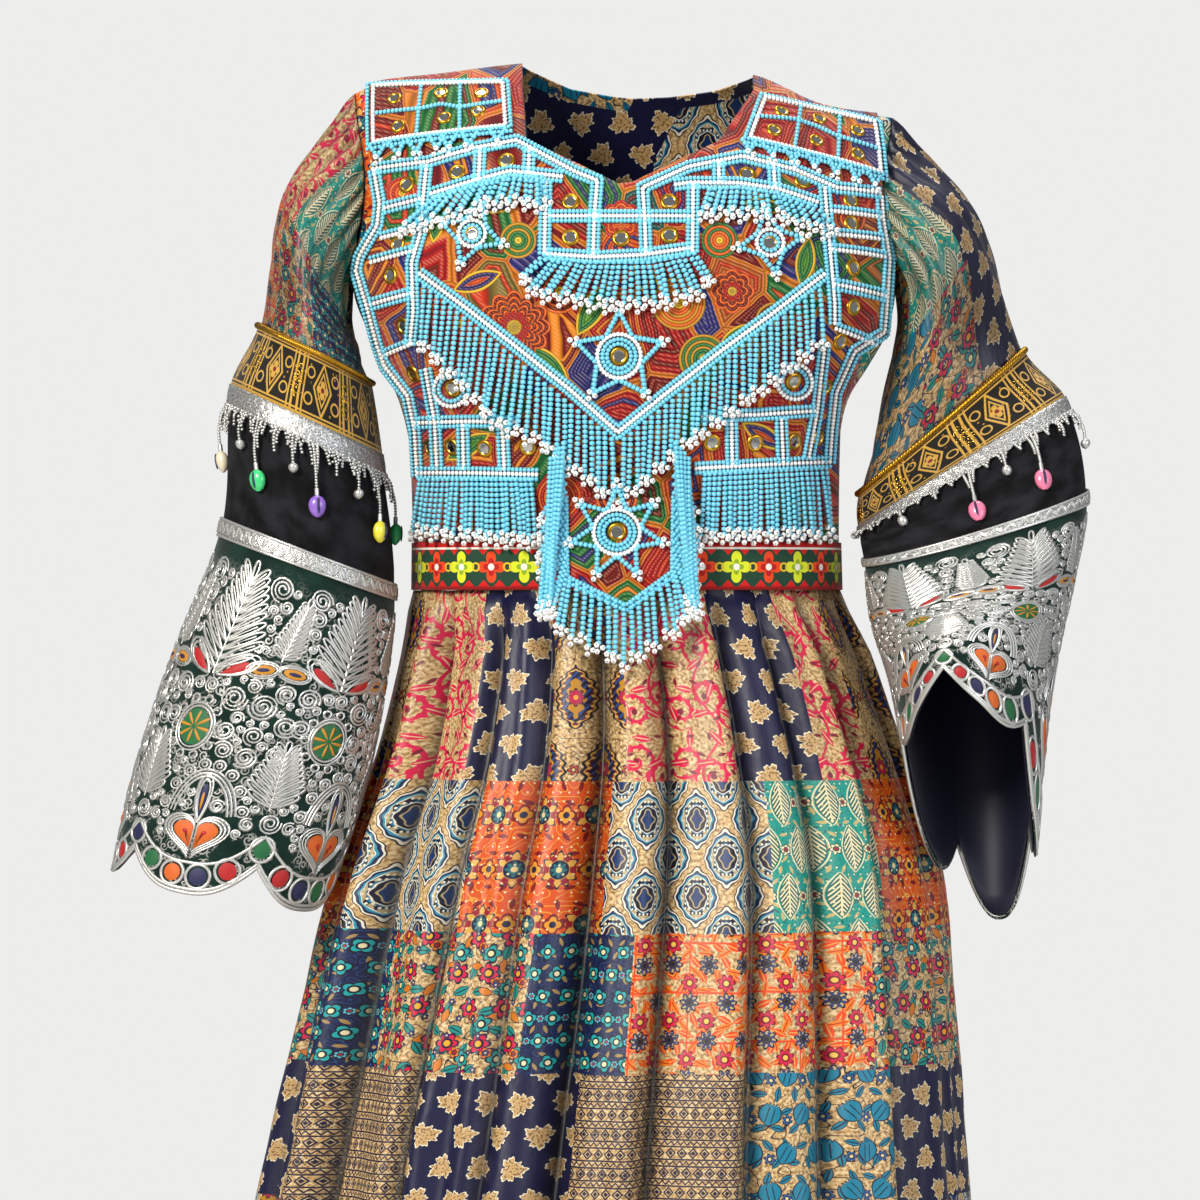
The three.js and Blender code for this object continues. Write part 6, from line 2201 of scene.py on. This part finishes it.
def silver_work(side, sleeve):
    place = Place(sleeve)
    middles = [360 * k / MOTIFS for k in range(MOTIFS)]
    lines = couching()
    joined = np.concatenate(lines)
    cuts = np.cumsum([len(line) for line in lines])[:-1]
    squeeze = place.girths[7:].mean() / MOTIFS / MOTIF_WIDE
    paths = []
    for middle in middles:
        paths += np.split(place.on(middle, joined * (squeeze, 1), 1.0), cuts)
    cord_mesh(f"sleeve_{side}_couching", paths, COUCH, 3, SILVER)
    turns = np.linspace(0, 360, 331)
    rims = [sleeve.point(turns, HEM_AT - scallop(turns) - inset, 1.2)[0] for inset in (1.6, 4.6, 25.5)]
    cells = {THREAD_RED: [], THREAD_GREEN: [], THREAD_NAVY: [], THREAD_ORANGE: []}
    order = [THREAD_GREEN, THREAD_RED, THREAD_NAVY, THREAD_GREEN, THREAD_ORANGE, THREAD_NAVY, THREAD_RED]
    girth = place.girths[-1]
    pitch = girth / (MOTIFS * HEM_CELLS)
    for k in range(MOTIFS * HEM_CELLS):
        turn = (k + 0.5) * 360 / (MOTIFS * HEM_CELLS)
        at = HEM_AT - float(scallop(turn)) - 15.2
        slope = float(scallop(turn + 2) - scallop(turn - 2)) / (4 / 360 * girth)
        lean = math.degrees(math.atan(slope))
        rim = arc(0, at - BELL_TOP_AT, 9.6, 0, 360, pitch * 0.45 / 9.6, -lean)
        paths.append(place.on(turn, rim, 1.0))
        rims.append(place.on(turn, rim, 1.2))
        cell = arc(0, at - BELL_TOP_AT, 8.2, 0, 360, pitch * 0.38 / 8.2, -lean)
        cells[order[k % len(order)]].append((turn, cell))
    cord_mesh(f"sleeve_{side}_hem_cord", rims, 1.5, 5, SILVER)
    flowers = []
    for middle in middles:
        for outline, thread, level in filled():
            heights = np.array([2.1, 2.0, 1.1]) + level * np.array([0.4, 0.4, 0.2])
            flowers.append((middle, outline * (squeeze, 1), thread, heights))
    domes(f"sleeve_{side}_threads", place, flowers)
    for thread, chosen in cells.items():
        domes(
            f"sleeve_{side}_cells_{thread.name}", place,
            [(*cell, thread, [1.9, 1.7, 0.9]) for cell in chosen],
        )


def silver_tape(name, node, side, sleeve, at, lift, girth_at, length):
    """A silver tape round the sleeve. at holds its rows of distances down the arm."""
    count = at.shape[1]
    turns = np.linspace(0, 360, count + 1)
    grid, _ = sleeve.point(np.broadcast_to(turns[:-1], at.shape), at, lift)
    u = np.broadcast_to(turns / 360 * sleeve.girth(girth_at), (len(at), count + 1))
    v = np.concatenate([at, at[:, :1]], 1)
    made = sheet_mesh(name, grid, np.stack([u, v], -1), [LUREX], True, flip=side == "right")
    cloth(made, [node], 0.5, length)


def lace(side, sleeve):
    """The silver lace under the band, with a scalloped lower edge."""
    turns = np.linspace(0, 360, 280, endpoint=False)
    t = np.linspace(0, 1, 7)[:, None]
    edge = 257 + 3.2 * np.abs(np.sin(np.radians(turns * 14)))[None, :]
    at = LACE_AT + (edge - LACE_AT) * t
    ripple = 0.7 * np.sin(np.radians(turns * 60)) * np.sin(at * 1.4)
    silver_tape(f"sleeve_{side}_lace", f"sleeve_{side}_fringe", side, sleeve, at, 1.9 + ripple, 248, 0.03)


def braid(side, sleeve):
    at = np.broadcast_to(np.linspace(BRAID_AT, BRAID_AT + 15, 5)[:, None], (5, 120))
    silver_tape(f"sleeve_{side}_braid_tape", f"sleeve_{side}_braid", side, sleeve, at, 2.0, BELL_AT, 0.02)
    turns = np.linspace(0, 360, 461)
    paths = [sleeve.point(turns, edge, 2.8)[0] for edge in (BRAID_AT + 1, BRAID_AT + 14)]
    zigzag = np.abs((turns / 360 * 46) % 1 - 0.5) * 2
    for shift in (0.0, 2.2):
        paths.append(sleeve.point(turns, BRAID_AT + 3 + shift + 6.4 * zigzag, 2.9)[0])
    cord_mesh(f"sleeve_{side}_braid_cords", paths, 1.15, 4, SILVER)


def twisted_cord(side, sleeve):
    girth = sleeve.girth(CORD_AT)
    twists = round(girth / TWIST)
    turns = np.linspace(0, 360, twists * 7 + 1)[:-1]
    paths = []
    for strand in range(3):
        phase = np.radians(turns * twists) + strand * 2 * math.pi / 3
        paths.append(sleeve.point(turns, CORD_AT + 1.5 * np.sin(phase), 2.7 + 1.5 * np.cos(phase))[0])
    nodes = [f"sleeve_{side}_cord"]
    cord_mesh(f"sleeve_{side}_cord_twist", paths, 1.35, 5, GOLD_METAL, nodes, closed=True)


def ellipsoid(centre, down, out, long, wide, deep, levels=9, sides=12):
    """Points and faces of a cowrie's form."""
    down, out = unit(down), unit(out)
    side = unit(np.cross(down, out))
    angles = around(sides)
    rings = []
    for t in np.linspace(-0.97, 0.97, levels):
        reach = math.sqrt(1 - t * t) * (1 - 0.12 * t)
        ring = side * np.cos(angles)[:, None] * wide + out * np.sin(angles)[:, None] * deep
        rings.append(centre + down * t * long + ring * reach)
    points = np.concatenate(rings)
    return points, faces_between(levels, sides)


SHORT_STRANDS = 78
STRAND_TOP_AT = 258
SILVER_BEAD = 2.7
SILVER_PITCH = 2.3


def pendants(side, sleeve):
    """The silver fringe: short strands all round, and longer ones that carry balls and cowries."""
    strung, hung, balls, caps = [], {}, [], []
    for k in range(SHORT_STRANDS):
        turn = k * 360 / SHORT_STRANDS
        count = 3 + (k * 5) % 4
        t = np.linspace(0, 1, count)
        lean = 2.4 * (1 if k % 2 else -1)
        path, _ = sleeve.point(
            turn + lean * t, STRAND_TOP_AT - 2 + count * SILVER_PITCH * t, 3.2 + 1.6 * t,
        )
        strung.append((path, unit(np.gradient(path, axis=0))))
    for row in SLEEVE_STRANDS[side]:
        turn, drop = row["turn"], row["drop"]
        for shift, share in ((-3.0, 0.45), (3.0, 0.6), (0.0, 1.0)):
            count = max(int(drop * share / SILVER_PITCH), 3)
            t = np.linspace(0, 1, count)
            out = 3.4 + 2.4 * np.sin(math.pi * t) + 3.5 * t * share
            path, _ = sleeve.point(turn + shift * (1 - 0.6 * t), STRAND_TOP_AT + drop * share * t, out)
            strung.append((path, unit(np.gradient(path, axis=0))))
        end, tangent = strung[-1][0][-1], strung[-1][1][-1]
        out = sleeve.point(np.array([turn]), np.array([STRAND_TOP_AT + drop]))[1][0]
        if row["hangs"] == "ball":
            balls.append(ellipsoid(end + tangent * 4.6, tangent, out, 4.0, 4.0, 4.0, 7, 10))
        elif row["hangs"]:
            caps.append(np.stack([end, end + tangent * 7]))
            points, faces = ellipsoid(end + tangent * 14, tangent, out, 8.8, 7.0, 5.2)
            # A dark navy sliver on each cowrie's face stands in for the shade inside its slit
            slit_shade = ellipsoid(end + tangent * 14 + out * 4.7, tangent, out, 6.6, 1.2, 1.2, 7, 8)
            hung.setdefault(row["hangs"], []).append((points, faces))
            hung.setdefault("slit_shade", []).append(slit_shade)

    def merged(name, shapes, material):
        parts = [(some, quads, np.zeros(len(quads), int)) for some, quads in shapes]
        joined_mesh(name, parts, [material])

    points = np.concatenate([path for path, _ in strung])
    tangents = np.concatenate([tangent for _, tangent in strung])
    beads = bead_mesh(f"sleeve_{side}_strands", [(points, tangents, SILVER_BEAD)], [SILVER])
    fit(beads, [])
    merged(f"sleeve_{side}_balls", balls, SILVER)
    cord_mesh(f"sleeve_{side}_caps", caps, 1.7, 8, SILVER)
    for colour, parts in hung.items():
        material = THREAD_NAVY if colour == "slit_shade" else COWRIE[colour]
        merged(f"sleeve_{side}_cowries_{colour}", parts, material)


SEQUINS_AT = 215
SEQUIN_STEP = 52


def sequins(side, sleeve):
    """Ovals of gold sequins between the motifs of the band."""
    girth = sleeve.girth(SEQUINS_AT)
    centres, normals = [], []
    count = int(girth / SEQUIN_STEP)
    for k in range(count):
        turn = (k + 1) * SEQUIN_STEP / girth * 360
        for ring, radius in ((1, 0.0), (6, 4.2), (9, 8.4)):
            for j in range(ring):
                angle = 2 * math.pi * j / ring
                du, dv = radius * 0.62 * math.cos(angle), radius * 1.25 * math.sin(angle)
                place = np.array([turn + du / girth * 360]), np.array([SEQUINS_AT + dv])
                point, normal = sleeve.point(*place, 1.0)
                centres.append(point[0])
                normals.append(normal[0] + 0.16 * np.array([math.sin(7 * j + k), 0, math.cos(5 * j + k)]))
    discs(
        f"sleeve_{side}_sequins", np.array(centres), np.array(normals), 2.0, SEQUIN, SEQUIN,
        8,
    )


def glitter(name, colour, size):
    foil = Finish(name, colour, roughness=0.35, metallic=0.8)
    x, y = foil.flat()
    flakes_and_glints = foil.noise(x, y, size, 2)
    # Painted glints in white on some flakes and painted shade in dark grey on others; the same flakes raise
    # the bump
    foil.paint(flakes_and_glints.above(0.56, 0.06) * 0.75, "#FFFFFF")
    foil.paint(flakes_and_glints.below(0.44, 0.06) * 0.7, "#6E6E6C")
    return foil.bump(flakes_and_glints, 0.9, 0.8).material


LUREX = glitter("lurex", "#BEBEBB", 1.5)
SEQUIN = plain("sequin_gold", "#D8A83A", roughness=0.2, metallic=1.0)

for side, sleeve in sleeves.items():
    silver_work(side, sleeve)
    lace(side, sleeve)
    braid(side, sleeve)
    twisted_cord(side, sleeve)
    pendants(side, sleeve)
    sequins(side, sleeve)


# Floor, light and camera

FLOOR_Z = -1430
FLOOR_WIDE = 2400
FLOOR_DEEP = 2600
ROOM_LIGHT = 0.38
CAMERA_X = -18
CAMERA_Z = -400
CAMERA_AWAY = 5000
LENS = 187.5
PAPER = "#EDEDEC"


def area_light(name, x, y, z, size, power, colour="#FFFFFF"):
    data = bpy.data.lights.new(name, "AREA")
    data.shape = "DISK"
    data.size = size * MM
    data.energy = power
    data.color = rgba(colour)[:3]
    light = bpy.data.objects.new(name, data)
    bpy.context.collection.objects.link(light)
    light.location = (x * MM, y * MM, z * MM)
    away = light.location.copy()
    away.z += 0.45
    light.rotation_euler = away.to_track_quat("Z", "Y").to_euler()
    return light


floor = mesh_object(
    "floor",
    [(x * FLOOR_WIDE, y * FLOOR_DEEP, FLOOR_Z) for x, y in ((-1, -1), (1, -1), (1, 1), (-1, 1))],
    [(0, 1, 2, 3)],
    [plain("floor_paper", "#E4E4E2", roughness=0.9)],
)

area_light("key", -1500, -2300, 900, 1100, 100, "#FFFAF2")
area_light("fill", 1900, -1900, 100, 1500, 30, "#F4F7FF")
area_light("top", 100, 500, 1900, 1500, 34)

world = bpy.data.worlds.new("studio")
world.use_nodes = True
nodes, links = world.node_tree.nodes, world.node_tree.links
seen = nodes["Background"]
seen.inputs["Color"].default_value = rgba(PAPER)
room = nodes.new("ShaderNodeBackground")
room.inputs["Color"].default_value = rgba(PAPER)
room.inputs["Strength"].default_value = ROOM_LIGHT
path = nodes.new("ShaderNodeLightPath")
mix = nodes.new("ShaderNodeMixShader")
links.new(path.outputs["Is Camera Ray"], mix.inputs[0])
links.new(room.outputs[0], mix.inputs[1])
links.new(seen.outputs[0], mix.inputs[2])
links.new(mix.outputs[0], nodes["World Output"].inputs["Surface"])
bpy.context.scene.world = world
bpy.context.scene.view_settings.view_transform = "Standard"

camera_data = bpy.data.cameras.new("camera")
camera_data.lens = LENS
camera = bpy.data.objects.new("camera", camera_data)
bpy.context.collection.objects.link(camera)
camera.location = (CAMERA_X * MM, -CAMERA_AWAY * MM, CAMERA_Z * MM)
camera.rotation_euler = (math.pi / 2, 0, 0)
bpy.context.scene.camera = camera
